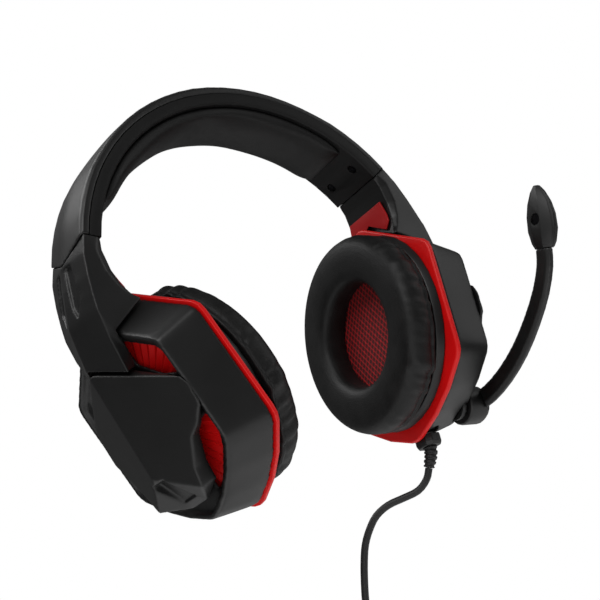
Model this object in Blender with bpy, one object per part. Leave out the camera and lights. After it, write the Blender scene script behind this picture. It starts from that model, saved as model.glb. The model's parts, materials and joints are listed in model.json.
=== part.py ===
# Gaming headset: headband with two sliding arms, two hexagonal ear cups, boom microphone and cable.
# Frame: +Z up, -Y front, +X the wearer's left. The origin is the middle of the head pad's underside.
# Sizes are in millimetres and angles in degrees. MM turns a finished mesh into metres.
import math

import bmesh
import bpy
import numpy as np
from mathutils import Matrix, Vector

MM = 0.001

# Fits
SEAT_GAP = 0.3
SWING_GAP = 0.7
CUT_PAST = 1.5

# Headband, measured as arcs about one centre below the pad
HEAD_RADIUS = 82.0
PAD_THICK = 7.0
PAD_HALF_WIDTH = 15.5
PAD_HALF_ANGLE = 53.5
PAD_END_TAPER = 0.3
INNER_COVER_THICK = 2.2
INNER_COVER_EDGE = 0.8
CHANNEL_DEPTH = 3.3
OUTER_COVER_THICK = 2.9
# How far the cover's ridge and its edges stand above the cover's base arc, by angle from the crown
COVER_RIDGE_RISE = [(0.0, 5.1), (16.0, 3.5), (33.0, 1.8), (40.0, 2.3), (46.0, 3.5), (66.7, 3.2)]
COVER_EDGE_RISE = [(0.0, 1.6), (24.0, 1.1), (33.0, 0.8), (40.0, 0.8), (46.0, 1.3), (66.7, 1.3)]
COVER_EDGE_CHAMFER = 1.3
COVER_POINT = 9.0
CHANNEL_WALL = 2.4
BAND_HALF_WIDTH = 17.8
BAND_HALF_ANGLE = 66.7
SPRING_THICK = 0.8
SPRING_HALF_WIDTH = 9.0
SPRING_HALF_ANGLE = 44.0
BAND_SCREW_ANGLE = 60.3
BAND_SCREW_SPREAD = 10.0
SCREW_HEAD_RADIUS = 2.3
SCREW_SHANK_RADIUS = 1.1
SCREW_HEAD_DEPTH = 1.2
SCREW_SINK = 0.4
SCREW_DOME = 0.3

# Sliding arms
SLIDER_THICK = 1.5
SLIDER_HALF_WIDTH = 5.5
SLIDER_IN_BAND = 28.0
SLIDER_IN_ARM = 9.0
ARM_EDGE = 2.0
ARM_SLOT_DEPTH = 1.5
ARM_SLOT_OFFSET = 1.2
# Outline of a slot in the arm: distance from the ridge and height below the band's end
ARM_SLOT_OUTLINE = [(3.0, 9.0), (7.5, 9.0), (10.5, 25.0), (6.0, 33.0), (4.0, 28.0)]
ARM_INSERT_THICK = 1.2
ARM_INSERT_TOP = 15.76
ARM_INSERT_BOTTOM = 31.0
ARM_INSERT_HALF_WIDTH = 14.0
ARM_INSERT_NOTCH = 8.3
ARM_INSERT_FLARE = 2.4
ARM_INSERT_SHOULDER = 8.0
ARM_END_GAP = 2.4
# Sections of the arm over the cup: height above its end, fall of that height to each side, clearance over the
# shell's face, depth of ridge and crease, half widths of crease and skirt in front and behind
ARM_LOWER = [
    (8.0, 0.07, 2.2, 32.8, 28.1, 20.6, 21.8, 13.0, 16.0),
    (3.5, 0.35, 1.5, 33.8, 29.6, 20.7, 20.3, 10.5, 11.5),
    (0.0, 0.55, 3.0, 34.8, 30.8, 20.8, 19.6, 8.0, 8.6),
]
# Each station below the band's end: depth, how far out ridge, crease, edge and inside stand, share of the cup's
# set-back, half widths of crease and edge in front and behind
ARM_STATIONS = [
    (8.8, 7.0, 4.0, -2.6, -6.4, 0.15, 17.9, 18.4, 17.9, 18.4),
    (18.8, 10.1, 6.4, -2.8, -6.6, 0.3, 18.4, 18.9, 17.6, 18.9),
    (26.5, 12.1, 7.7, -5.5, -8.3, 0.5, 19.0, 19.6, 17.0, 19.0),
    (32.2, 13.4, 8.5, -9.4, -11.0, 0.65, 19.5, 20.4, 16.4, 20.8),
    (35.3, 14.0, 8.9, -12.8, -13.4, 0.75, 19.9, 21.3, 15.8, 22.6),
]
# The arm straddles the shell's top corner from this station on, at this depth, with this much room
ARM_SADDLE_BELOW = 26.0
ARM_SADDLE_DEPTH = 8.0
ARM_SADDLE_ROOM = 1.6

# Where the left cup sits, from the band's end; the right one mirrors it
CUP_INSET = 27.5
CUP_SET_BACK = 3.0
CUP_BELOW_BAND = 79.06
CUP_TILT = 13.3

# Hexagon of the cup's rim
CUP_HALF_WIDTH = 47.5
CUP_SHOULDER = 28.0
CUP_TIP = 57.0
CUP_LOW_BULGE = 4.0
CUP_HIGH_BULGE = 1.0
CUP_CORNER = 0.07

# Outer shell, depth measured outwards from the trim's plane
SHELL_FOOT = 1.2
SHELL_EDGE = 24.5
SHELL_EDGE_SCALE = 0.885
SHELL_WALL = 2.2
SHELL_FACE = 21.3
SHELL_LIP = 1.9
# Openings in the shell's face, in front, as (back, up)
WINDOW_UPPER = [(-14.5, 35.0), (-33.5, 23.5), (-36.2, 18.0), (-36.2, 9.5), (-26.0, 13.5), (-14.5, 23.0)]
WINDOW_LOWER = [
    (-36.0, -11.0), (-35.2, -21.0), (-30.5, -27.0), (-20.0, -35.5), (-11.5, -41.0), (-10.0, -31.0),
    (-16.0, -21.5), (-26.0, -13.0),
]

# Outer plate, a roof with its ridge upright in the middle
PLATE_RIDGE = 35.2
PLATE_RIDGE_CLIMB = 0.064
PLATE_SLOPE = 0.262
PLATE_TOP = 30.6
PLATE_PEAK = -21.0
PLATE_WALL = 2.6
PLATE_END_HEIGHT = 25.8
PLATE_POST_SCALE = 0.32
# Outline of the plate's front and back halves from the top down: distance from the ridge and height
PLATE_FRONT = [
    (2.0, 30.2), (42.0, 7.4), (44.3, 3.0), (43.4, -6.5), (36.0, -13.5), (30.5, -16.0), (23.4, -27.0),
    (21.5, -35.5), (6.5, -41.2),
]
PLATE_BACK = [
    (2.0, 30.2), (33.0, 13.2), (36.5, 6.0), (36.0, -6.0), (31.0, -13.0), (28.5, -16.5), (21.0, -27.0),
    (17.5, -34.5), (6.5, -41.2),
]
# The left plate stops above the microphone
PLATE_SHORT_END = [(20.0, -28.0), (6.0, -29.0)]
PLATE_PIT_HALF = 5.5
PLATE_PIT_TOP = -23.5
PLATE_PIT_END = -37.0
PLATE_PIT_DEPTH = 4.0

# Ribbed grille behind the windows
GRILLE_RIBS = 44
GRILLE_RIB_HEIGHT = 1.3
GRILLE_THICK = 1.2
GRILLE_OUTER_SCALE = 0.74
GRILLE_INNER_SCALE = 0.36
GRILLE_DISH = 1.6

# Trim ring, baffle, cushion and cloth, depth measured towards the head
TRIM_DEPTH = 1.5
TRIM_OVERHANG = 0.7
TRIM_ROUND = 0.6
NECK_HALF_WIDTH = 40.5
NECK_HALF_HEIGHT = 45.0
BAFFLE_FLANGE = 2.2
BAFFLE_RIM_DEPTH = 6.0
BAFFLE_RIM_TAPER = 1.6
BAFFLE_PLAY = 0.4
BAFFLE_HALF_WIDTH = 46.0
BAFFLE_HALF_HEIGHT = 50.0
CUSHION_BASE = 7.4
CUSHION_THICK = 15.6
CUSHION_HALF_WIDTH = 44.6
CUSHION_HALF_HEIGHT = 48.4
CUSHION_DROP = 2.4
CUSHION_HOLE_HALF_WIDTH = 21.5
CUSHION_HOLE_HALF_HEIGHT = 25.0
CUSHION_LAND = 2.5
CLOTH_THICK = 0.8
CLOTH_LAP = 6.0

# Loudspeaker
DRIVER_RADIUS = 20.0
DRIVER_FLANGE_RADIUS = 24.0
DRIVER_FLANGE_THICK = 1.4
DRIVER_FRONT = -2.0
DRIVER_FLOOR = 0.6
DRIVER_WALL = 1.6
DRIVER_LEDGE = 3.0
MAGNET_RADIUS = 13.0
MAGNET_EDGE = 0.6
MAGNET_DEPTH = 8.0
DIAPHRAGM_RADIUS = 17.5
DIAPHRAGM_RISE = 2.2

# Hinge between arm and cup, in the cup's own depth and height
HINGE_BARREL_RADIUS = 3.0
HINGE_BARREL_HALF = 4.4
HINGE_LUG_THICK = 3.0
HINGE_LUG_HEIGHT = 6.0
HINGE_BASE_THICK = 0.6
PIN_RADIUS = 1.3
HINGE_FLOOR_GAP = 0.2
HINGE_PLATE_GAP = 4.4
HINGE_LUG_RISE = 2.4
HINGE_ROOF_GAP = 1.1
HINGE_SIDE_GAP = 0.5
HINGE_POCKET_TOP = 4.0
HINGE_DEPTH = SHELL_FACE + SEAT_GAP + HINGE_BASE_THICK + HINGE_FLOOR_GAP + HINGE_BARREL_RADIUS
HINGE_HEIGHT = PLATE_TOP + HINGE_PLATE_GAP + HINGE_LUG_HEIGHT / 2.0
HINGE_ROOF = HINGE_DEPTH + HINGE_LUG_RISE + HINGE_ROOF_GAP

# Boom microphone on the left cup
MIC_FRONT = 8.0
MIC_LOW = -43.0
MIC_SOCKET_RADIUS = 7.0
MIC_SOCKET_DEPTH = 3.2
MIC_HUB_RADIUS = 9.5
MIC_HUB_DEPTH = 13.5
MIC_BOOM_SHARE = 0.78
MIC_HUB_TAPER = 1.5
MIC_EDGE = 0.7
MIC_SCREW_HEAD = 1.6
MIC_SCREW_RADIUS = 2.4
BOOM_HALF_WIDTH = 5.2
# The boom's middle from the hub on, as (ahead, above)
BOOM_WAY = [
    (0.0, 0.0), (13.0, 1.0), (27.0, 5.0), (41.5, 12.0),
    (55.0, 21.5), (66.5, 32.0), (73.8, 42.0), (76.6, 49.5),
]
BOOM_HALF_THICK = 3.0
BOOM_SECTION = [
    (-1.0, -0.55), (-0.55, -1.0), (0.55, -1.0), (1.0, -0.5), (0.75, 0.55), (0.0, 1.0), (-0.75, 0.55),
]
MIC_HEAD_HALF_WIDTH = 8.0
MIC_HEAD_THICK = 9.0
MIC_HEAD_SIDE = 0.45
CAPSULE_ALONG = 14.0
CAPSULE_SINK = 1.6
CAPSULE_RADIUS = 2.6
CAPSULE_DEPTH = 2.6

# Cable
CABLE_RADIUS = 1.8
COLLAR_HALF_WIDTH = 6.5
COLLAR_HALF_DEPTH = 5.0
COLLAR_HEIGHT = 3.4
COLLAR_SINK = 2.2
COLLAR_TAPER = 0.86
BOOT_TOP_RADIUS = 3.6
BOOT_END_RADIUS = 2.9
BOOT_GROOVE = 0.6
BOOT_RIBS = 4
BOOT_STIFF = 3.6
COIL_TURNS = 3.25
COIL_LAYERS = 4
COIL_PITCH = 4.15
COIL_OUTER = 28.2
LOOP_POINTS = 24
TIE_THICK = 0.9
TIE_WIDTH = 7.0
PLUG_RADIUS = 4.6
PLUG_EDGE = 0.9
PLUG_LENGTH = 19.0
PLUG_BOOT_LENGTH = 11.0
JACK_RADIUS = 1.75
JACK_LENGTH = 14.0

ARCH_CENTRE = Vector((0.0, 0.0, -HEAD_RADIUS))
INNER_COVER_R = HEAD_RADIUS + PAD_THICK + SEAT_GAP
CHANNEL_R = INNER_COVER_R + INNER_COVER_THICK + SEAT_GAP
COVER_R = CHANNEL_R + CHANNEL_DEPTH
EDGE_R = COVER_R + OUTER_COVER_THICK
BAND_END = ARCH_CENTRE + EDGE_R * Vector((
    math.sin(math.radians(BAND_HALF_ANGLE)), 0.0, math.cos(math.radians(BAND_HALF_ANGLE))))
SIDES = {"left": 1.0, "right": -1.0}


def clear_scene():
    for item in list(bpy.data.objects):
        bpy.data.objects.remove(item)


def finish(name, colour, roughness, metallic=0.0):
    material = bpy.data.materials.new(name)
    material.use_nodes = True
    shader = material.node_tree.nodes["Principled BSDF"]
    linear = [((c / 255.0 + 0.055) / 1.055) ** 2.4 for c in bytes.fromhex(colour)]
    shader.inputs["Base Color"].default_value = (*linear, 1.0)
    shader.inputs["Roughness"].default_value = roughness
    shader.inputs["Metallic"].default_value = metallic
    material.diffuse_color = (*linear, 1.0)
    return material


def body_frame(name, place, turn=0.0):
    """An empty on a body's joint axis, turned about Y. Its pieces are parented to it."""
    empty = bpy.data.objects.new(name, None)
    empty.matrix_world = Matrix.Translation(Vector(place) * MM) @ Matrix.Rotation(math.radians(turn), 4, "Y")
    bpy.context.scene.collection.objects.link(empty)
    return empty


def add_piece(name, bm, frame, material, smooth=35.0):
    """Turns a mesh given in the part's millimetres into a named object on its body's frame."""
    bm.transform(Matrix.Scale(MM, 4))
    bm.transform(frame.matrix_world.inverted())
    bmesh.ops.recalc_face_normals(bm, faces=bm.faces)
    mesh = bpy.data.meshes.new(name)
    bm.to_mesh(mesh)
    bm.free()
    mesh.materials.append(material)
    mesh.shade_smooth()
    mesh.set_sharp_from_angle(angle=math.radians(smooth))
    piece = bpy.data.objects.new(name, mesh)
    piece.parent = frame
    bpy.context.scene.collection.objects.link(piece)
    return piece


def combine(piece, tool_name, bm, operation="DIFFERENCE"):
    """Cuts a hidden tool out of a piece, or joins it on."""
    bm.transform(Matrix.Scale(MM, 4))
    bmesh.ops.recalc_face_normals(bm, faces=bm.faces)
    mesh = bpy.data.meshes.new(tool_name)
    bm.to_mesh(mesh)
    bm.free()
    tool = bpy.data.objects.new(tool_name, mesh)
    tool.hide_render = True
    tool.display_type = "WIRE"
    bpy.context.scene.collection.objects.link(tool)
    modifier = piece.modifiers.new(tool_name, "BOOLEAN")
    modifier.operation = operation
    modifier.object = tool
    modifier.solver = "EXACT"


def loft(rings, wrap=False, fan=False):
    """Skins rings of equal point count: closed on itself, or with ends that are flat or fanned out."""
    bm = bmesh.new()
    loops = [[bm.verts.new(p) for p in ring] for ring in rings]
    pairs = list(zip(loops, loops[1:]))
    if wrap:
        pairs.append((loops[-1], loops[0]))
    for low, high in pairs:
        for i in range(len(low)):
            j = (i + 1) % len(low)
            bm.faces.new((low[i], low[j], high[j], high[i]))
    if wrap:
        return bm
    for ring in (loops[0], loops[-1]):
        if fan:
            for a, b in zip(ring, ring[1:-1]):
                bm.faces.new((ring[-1], a, b))
        else:
            bm.faces.new(ring)
    if fan:
        bmesh.ops.triangulate(bm, faces=bm.faces)
    return bm


def turned(profile, centre, axis, across, steps=24, closed=True):
    """Spins a profile of (distance along axis, radius) about an axis. A radius of 0 ends on the axis."""
    axis = Vector(axis).normalized()
    first = (Vector(across) - axis * axis.dot(Vector(across))).normalized()
    second = axis.cross(first)
    rings = []
    for along, radius in profile:
        ring = []
        for i in range(steps):
            a = 2.0 * math.pi * i / steps
            ring.append(Vector(centre) + axis * along + (first * math.cos(a) + second * math.sin(a)) * radius)
        rings.append(ring)
    return loft(rings, wrap=not closed)


def block(low, high, place=lambda p: p):
    """A box between two corners, placed by a function."""
    (x0, y0, z0), (x1, y1, z1) = low, high
    lower = [place(Vector(p)) for p in ((x0, y0, z0), (x1, y0, z0), (x1, y1, z0), (x0, y1, z0))]
    upper = [place(Vector(p)) for p in ((x0, y0, z1), (x1, y0, z1), (x1, y1, z1), (x0, y1, z1))]
    return loft([lower, upper])


def arch_point(angle, radius, y=0.0):
    a = math.radians(angle)
    return ARCH_CENTRE + Vector((radius * math.sin(a), y, radius * math.cos(a)))


def arch_sweep(section, half_angle, steps):
    """Carries a section of (y, radius) round the headband's arc. The section may change with the angle."""
    rings = []
    for i in range(steps + 1):
        angle = half_angle * (2.0 * i / steps - 1.0)
        points = section(angle) if callable(section) else section
        rings.append([arch_point(angle, r, y) for y, r in points])
    return rings


def cup_point(sign, depth, back, up):
    """A point given by depth outwards from the trim, distance to the back and height, on the tilted cup."""
    t = math.radians(CUP_TILT)
    x = BAND_END.x - CUP_INSET + depth * math.cos(t) + up * math.sin(t)
    z = BAND_END.z - CUP_BELOW_BAND + up * math.cos(t) - depth * math.sin(t)
    return Vector((sign * x, CUP_SET_BACK + back, z))


def hexagon(scale=1.0, inset=0.0):
    """The cup's outline as (back, up) points: straight flanks, full lower edges and softened corners."""
    half, shoulder, tip = CUP_HALF_WIDTH, CUP_SHOULDER, CUP_TIP
    corners = [(0, tip), (-half, shoulder), (-half, -shoulder)]
    corners += [(-x, -y) for x, y in corners]
    bulges = [CUP_HIGH_BULGE, 0.0, CUP_LOW_BULGE, CUP_LOW_BULGE, 0.0, CUP_HIGH_BULGE]
    shares = (CUP_CORNER, 0.36, 0.64, 1.0 - CUP_CORNER)
    edges = []
    for i, bulge in enumerate(bulges):
        a, b = Vector(corners[i]), Vector(corners[(i + 1) % 6])
        out = Vector(((b - a).y, -(b - a).x)).normalized()
        out = out if out.dot(a + b) > 0 else -out
        kept = shares if bulge > CUP_HIGH_BULGE else (shares[0], shares[-1])
        edges.append([a.lerp(b, t) + out * (4.0 * bulge * t * (1.0 - t)) for t in kept])
    outline = []
    for i, edge in enumerate(edges):
        before = edges[i - 1][-1]
        outline.append(Vector(corners[i]) * 0.5 + before * 0.25 + edge[0] * 0.25)
        outline.extend(edge)
    factor = scale - inset / half
    return [p * factor for p in outline]


def dense(outline, step=11.0):
    """The same outline with points added wherever it turns by more than a step as seen from the middle."""
    points = []
    for p, q in zip(outline, outline[1:] + outline[:1]):
        parts = max(1, math.ceil(math.degrees(p.angle(q)) / step))
        points += [p.lerp(q, i / parts) for i in range(parts)]
    return points


def shell_scale(depth):
    """How far the cup's side has drawn in at a depth."""
    share = (depth - SHELL_FOOT) / (SHELL_EDGE - SHELL_FOOT)
    return 1.0 + (SHELL_EDGE_SCALE - 1.0) * share


def oval(half_width, half_height, like):
    """An oval with one point in the direction of each point of another outline."""
    points = []
    for p in like:
        a = math.atan2(p.y / half_height, p.x / half_width)
        points.append(Vector((half_width * math.cos(a), half_height * math.sin(a))))
    return points


def even_oval(half_width, half_height, count):
    turn = [2.0 * math.pi * i / count for i in range(count)]
    return [Vector((half_width * math.cos(a), half_height * math.sin(a))) for a in turn]


def cup_ring(sign, depth, outline):
    return [cup_point(sign, depth, p.x, p.y) for p in outline]


def cup_turned(sign, profile, steps=28, closed=True, back=0.0, up=0.0):
    """A turned piece on the cup's own axis, from (depth, radius) pairs."""
    start = cup_point(sign, 0.0, back, up)
    axis = cup_point(sign, 1.0, back, up) - start
    return turned(profile, start, axis, (0.0, 1.0, 0.0), steps, closed)


# Headband


def by_angle(table, angle):
    """Reads a value between the rows of a table of (angle, value)."""
    for (a, first), (b, second) in zip(table, table[1:]):
        if abs(angle) <= b:
            return first + (second - first) * (abs(angle) - a) / (b - a)
    return table[-1][1]


def cover_point(y, r):
    """How far the cover's pointed end reaches past the band's end at a place on its section."""
    ridge = EDGE_R + by_angle(COVER_RIDGE_RISE, BAND_HALF_ANGLE)
    edge = EDGE_R + by_angle(COVER_EDGE_RISE, BAND_HALF_ANGLE) - COVER_EDGE_CHAMFER
    share = (r - INNER_COVER_R) / (ridge - INNER_COVER_R)
    fall = (edge - INNER_COVER_R) / (ridge - INNER_COVER_R) / BAND_HALF_WIDTH
    return COVER_POINT * max(0.0, share - fall * abs(y))


def outer_cover():
    """A shallow roof with a ridge, on the channel's walls, that ends in a point at each side."""
    w, c = BAND_HALF_WIDTH, COVER_EDGE_CHAMFER
    end_edge = EDGE_R + by_angle(COVER_EDGE_RISE, BAND_HALF_ANGLE) - c
    notch = w * (COVER_R - INNER_COVER_R) / (end_edge - INNER_COVER_R)

    def section(angle):
        edge = EDGE_R + by_angle(COVER_EDGE_RISE, angle)
        ridge = EDGE_R + by_angle(COVER_RIDGE_RISE, angle)
        return [
            (-w, COVER_R), (-w, edge - c), (-w + c, edge), (0.0, ridge), (w - c, edge), (w, edge - c),
            (w, COVER_R),
            (notch, COVER_R), (0.0, COVER_R), (-notch, COVER_R),
        ]

    rings = arch_sweep(section, BAND_HALF_ANGLE, 26)
    for ring, angle in ((rings[0], -BAND_HALF_ANGLE), (rings[-1], BAND_HALF_ANGLE)):
        along = arch_point(angle + math.copysign(90.0, angle), 1.0) - ARCH_CENTRE
        for i, (y, r) in enumerate(section(angle)):
            ring[i] = ring[i] + along * cover_point(y, r)
    bm = loft(rings)
    for cap in [f for f in bm.faces if len(f.verts) == len(rings[0])]:
        v = list(cap.verts)
        bm.faces.remove(cap)
        for corners in ((9, 0, 1), (8, 9, 1, 2, 3), (3, 4, 5, 7, 8), (5, 6, 7)):
            bm.faces.new([v[i] for i in corners])
    return bm


def inner_cover():
    """The channel that the sliders run in: a floor under the spring and a wall at each side."""
    w, f = BAND_HALF_WIDTH, BAND_HALF_WIDTH - CHANNEL_WALL
    floor, wall = INNER_COVER_R + INNER_COVER_THICK, COVER_R - SEAT_GAP
    edge = INNER_COVER_R + INNER_COVER_EDGE
    section = [
        (-w, edge), (-w, wall), (-f, wall), (-f, floor), (f, floor), (f, wall), (w, wall), (w, edge),
        (w - INNER_COVER_EDGE, INNER_COVER_R), (INNER_COVER_EDGE - w, INNER_COVER_R),
    ]
    return loft(arch_sweep(section, BAND_HALF_ANGLE, 26))


def band_spring():
    low = CHANNEL_R + SEAT_GAP
    w = SPRING_HALF_WIDTH
    section = [(-w, low), (-w, low + SPRING_THICK), (w, low + SPRING_THICK), (w, low)]
    return loft(arch_sweep(section, SPRING_HALF_ANGLE, 16))


def head_pad():
    """A stuffed strip: full in the middle, drawn in along its edges and towards its ends."""
    base = HEAD_RADIUS + PAD_THICK

    def section(angle):
        end = max(0.0, (abs(angle) - PAD_HALF_ANGLE + 9.0) / 9.0)
        full = math.sqrt(1.0 - 0.8 * end * end) * (1.0 - PAD_END_TAPER * (angle / PAD_HALF_ANGLE) ** 2)
        wide = PAD_HALF_WIDTH * (1.0 - 0.12 * end * end)
        points = [(wide * 0.93, base), (-wide * 0.93, base)]
        for i in range(11):
            a = math.pi * (1.0 - i / 10.0)
            across = math.copysign(abs(math.cos(a)) ** 0.62, math.cos(a))
            points.append((wide * across, base - 2.2 - (PAD_THICK * full - 2.2) * math.sin(a) ** 0.62))
        return points

    return loft(arch_sweep(section, PAD_HALF_ANGLE, 26))


def band_screw_axis(sign, spread):
    """Where a cover screw enters, and the direction it points in."""
    out = (arch_point(sign * BAND_SCREW_ANGLE, 1.0) - ARCH_CENTRE).normalized()
    return arch_point(sign * BAND_SCREW_ANGLE, 0.0, spread), out


def screw_solid(sign, spread):
    centre, out = band_screw_axis(sign, spread)
    head = INNER_COVER_R + SCREW_SINK
    foot = head + SCREW_HEAD_DEPTH
    wide, narrow = SCREW_HEAD_RADIUS, SCREW_SHANK_RADIUS
    rim = head + SCREW_DOME
    profile = [(head, narrow - 0.2), (rim, narrow - 0.1), (head, wide - 0.5), (rim, wide)]
    profile += [(foot, wide), (foot, narrow), (COVER_R - SEAT_GAP, narrow)]
    return turned(profile, centre, out, (0.0, 1.0, 0.0), 12)


def screw_hole(sign, spread):
    centre, out = band_screw_axis(sign, spread)
    seat = INNER_COVER_R + SCREW_SINK + SCREW_HEAD_DEPTH + SEAT_GAP
    wide, narrow = SCREW_HEAD_RADIUS + SEAT_GAP, SCREW_SHANK_RADIUS + SEAT_GAP
    profile = [(INNER_COVER_R - 2.0, wide), (seat, wide), (seat, narrow), (CHANNEL_R + 0.5, narrow)]
    return turned(profile, centre, out, (0.0, 1.0, 0.0), 12)


def build_headband(frame, black, pad_leather, steel):
    roof_cover = add_piece("headband_outer_cover", outer_cover(), frame, black)
    cover = add_piece("headband_inner_cover", inner_cover(), frame, black)
    add_piece("headband_spring", band_spring(), frame, steel)
    add_piece("headband_pad", head_pad(), frame, pad_leather, 60.0)
    for side, sign in SIDES.items():
        combine(roof_cover, f"{side}_slider_way", slider_block(sign, SEAT_GAP))
        for place, spread in (("front", -BAND_SCREW_SPREAD), ("back", BAND_SCREW_SPREAD)):
            combine(cover, f"{side}_{place}_screw_hole", screw_hole(sign, spread))
            add_piece(f"{side}_{place}_band_screw", screw_solid(sign, spread), frame, steel)


# Sliding arms


def slide_axis(sign):
    """The chord that the straight slider follows inside the curved band: its lower end and direction."""
    mid_r = CHANNEL_R + CHANNEL_DEPTH / 2.0
    swing = math.degrees(SLIDER_IN_BAND / mid_r)
    low, high = arch_point(BAND_HALF_ANGLE, mid_r), arch_point(BAND_HALF_ANGLE - swing, mid_r)
    sag = mid_r * (1.0 - math.cos(math.radians(swing / 2.0)))
    out = (arch_point(BAND_HALF_ANGLE - swing / 2.0, 1.0) - ARCH_CENTRE).normalized()
    low, high = low + out * sag / 2.0, high + out * sag / 2.0
    mirror = Vector((sign, 1.0, 1.0))
    return low * mirror, (low - high).normalized() * mirror, out * mirror


def slider_block(sign, grow, upper=SLIDER_IN_BAND, lower=SLIDER_IN_ARM):
    start, down, out = slide_axis(sign)

    def place(p):
        return start + down * p.x + Vector((0.0, p.y, 0.0)) + out * p.z

    half, thick = SLIDER_HALF_WIDTH + grow, SLIDER_THICK / 2.0 + grow
    return block((-upper - grow, -half, -thick), (lower + grow, half, thick), place)


def arm_section(inner, skirt, crease, ridge, front, back, grow):
    """One section of an arm, as (out, y): skirt and crease at each side, the ridge, the inside's middle."""
    sides = []
    for crease_half, half in (front, back):
        edge = half + grow
        sides.append([(inner - grow, edge - ARM_EDGE), (skirt, edge), (crease + grow, crease_half + grow)])
    points = [(out, -y) for out, y in sides[0]]
    return points + [(ridge + grow, 0.0)] + sides[1][::-1] + [(inner - grow, 0.0)]


def arm_top(grow):
    """The arm's upper section, cut to the cover's pointed end."""
    top = math.radians(BAND_HALF_ANGLE)
    out = Vector((math.sin(top), 0.0, math.cos(top)))
    down = Vector((math.cos(top), 0.0, -math.sin(top)))
    ridge, edge = by_angle(COVER_RIDGE_RISE, BAND_HALF_ANGLE), by_angle(COVER_EDGE_RISE, BAND_HALF_ANGLE)
    inner, crease = INNER_COVER_R - EDGE_R, edge - COVER_EDGE_CHAMFER
    half = (BAND_HALF_WIDTH, BAND_HALF_WIDTH)
    section = arm_section(inner, inner + ARM_EDGE, crease, ridge, half, half, grow)
    ring = []
    for i, (n, y) in enumerate(section):
        past = COVER_POINT if i == len(section) // 2 - 1 else 0.0
        ring.append(BAND_END + out * n + down * (SEAT_GAP - grow + past) + Vector((0.0, y, 0.0)))
    return ring


def saddle_point(sign, depth, grow):
    """Middle of the arm's underside, above the shell's top corner."""
    return cup_point(sign, depth, 0.0, CUP_TIP * shell_scale(depth) + ARM_SADDLE_ROOM - grow)


def arm_rings(sign, grow=0.0):
    """Sections from the band's end down to the plate, grown all round when they cut clearance."""
    mirror = Vector((sign, 1.0, 1.0))
    rings = [[p * mirror for p in arm_top(grow)]]
    for below, ridge, crease, skirt, inner, share, *halves in ARM_STATIONS:
        section = arm_section(inner, skirt, crease, ridge, halves[:2], halves[2:], grow)
        shift = CUP_SET_BACK * share
        drop = below + grow if below > ARM_SADDLE_BELOW else below
        rings.append([(BAND_END + Vector((out, y + shift, -drop))) * mirror for out, y in section])
        if below > ARM_SADDLE_BELOW:
            rings[-1][-1] = saddle_point(sign, ARM_SADDLE_DEPTH, grow)
    end = PLATE_TOP + ARM_END_GAP - grow
    for above, slope, lift, ridge, crease, *halves in ARM_LOWER:
        inner = SHELL_FACE + lift
        section = arm_section(inner, inner + ARM_EDGE / 2.0, crease, ridge, halves[:2], halves[2:], grow)
        edge = end + above
        rings.append([cup_point(sign, depth, back, edge - slope * abs(back)) for depth, back in section])
        if lift == ARM_LOWER[0][2]:
            rings[-1][-1] = saddle_point(sign, inner - grow, grow)
    return rings


def arm_surface(y, below):
    """How far outside the band's end the arm's front stands at a place between two stations."""
    for upper, lower in zip(ARM_STATIONS, ARM_STATIONS[1:]):
        if upper[0] <= below <= lower[0]:
            t = (below - upper[0]) / (lower[0] - upper[0])
            _, ridge, crease, _, _, share, front, _, back, _ = [a + (b - a) * t for a, b in zip(upper, lower)]
            side = y - CUP_SET_BACK * share
            return ridge + (crease - ridge) * abs(side) / (front if side < 0.0 else back)
    return 0.0


def arm_slot(sign, hand):
    """A long pointed recess beside the arm's ridge."""
    mirror = Vector((sign, 1.0, 1.0))
    rings = []
    for lift in (-ARM_SLOT_DEPTH, 4.0):
        places = [(ARM_SLOT_OFFSET + hand * y, below) for y, below in ARM_SLOT_OUTLINE]
        rings.append([(BAND_END + Vector((arm_surface(y, d) + lift, y, -d))) * mirror for y, d in places])
    return loft(rings)


def hinge_pocket(sign):
    """The room under the arm's lower end where the bracket swings."""
    half = HINGE_BARREL_HALF + SEAT_GAP + HINGE_LUG_THICK + HINGE_SIDE_GAP
    rings = []
    for up in (PLATE_TOP - HINGE_LUG_HEIGHT, HINGE_HEIGHT + HINGE_POCKET_TOP):
        corners = ((SHELL_WALL, -half), (HINGE_ROOF, -half), (HINGE_ROOF, half), (SHELL_WALL, half))
        rings.append([cup_point(sign, depth, back, up) for depth, back in corners])
    return loft(rings)


def hinge_barrel(sign, radius, half, foot):
    """A round knuckle along Y with a neck up into the arm."""
    outline = []
    for i in range(13):
        a = math.pi * (1.0 + i / 12.0)
        outline.append((HINGE_HEIGHT + radius * math.cos(a), HINGE_DEPTH + radius * math.sin(a)))
    outline += [(HINGE_HEIGHT + radius, foot), (HINGE_HEIGHT - radius, foot)]
    rings = [[cup_point(sign, depth, back, up) for up, depth in outline] for back in (-half, half)]
    return loft(rings)


def arm_insert(sign):
    mirror = Vector((sign, 1.0, 1.0))
    half = ARM_INSERT_HALF_WIDTH
    middle = CUP_SET_BACK * 0.5
    top, bottom = ARM_INSERT_TOP, ARM_INSERT_BOTTOM
    wide, knee = half + ARM_INSERT_FLARE, top + ARM_INSERT_SHOULDER
    side = [(half, top), (wide - 0.5, knee), (wide, (knee + bottom) / 2.0), (half, bottom)]
    outline = [(-y, below) for y, below in reversed(side)] + side + [(0.0, bottom - ARM_INSERT_NOTCH)]
    rings = []
    for rise in (0.0, ARM_INSERT_THICK):
        places = [(arm_inside(below) - SEAT_GAP - rise, middle + y, below) for y, below in outline]
        rings.append([(BAND_END + Vector((x, y, -below))) * mirror for x, y, below in places])
    return loft(rings, fan=True)


def arm_inside(below):
    """How far outside the band's end the arm's inside stands."""
    rows = [(row[0], row[4]) for row in ARM_STATIONS]
    return float(np.interp(below, *zip(*rows)))


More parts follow.
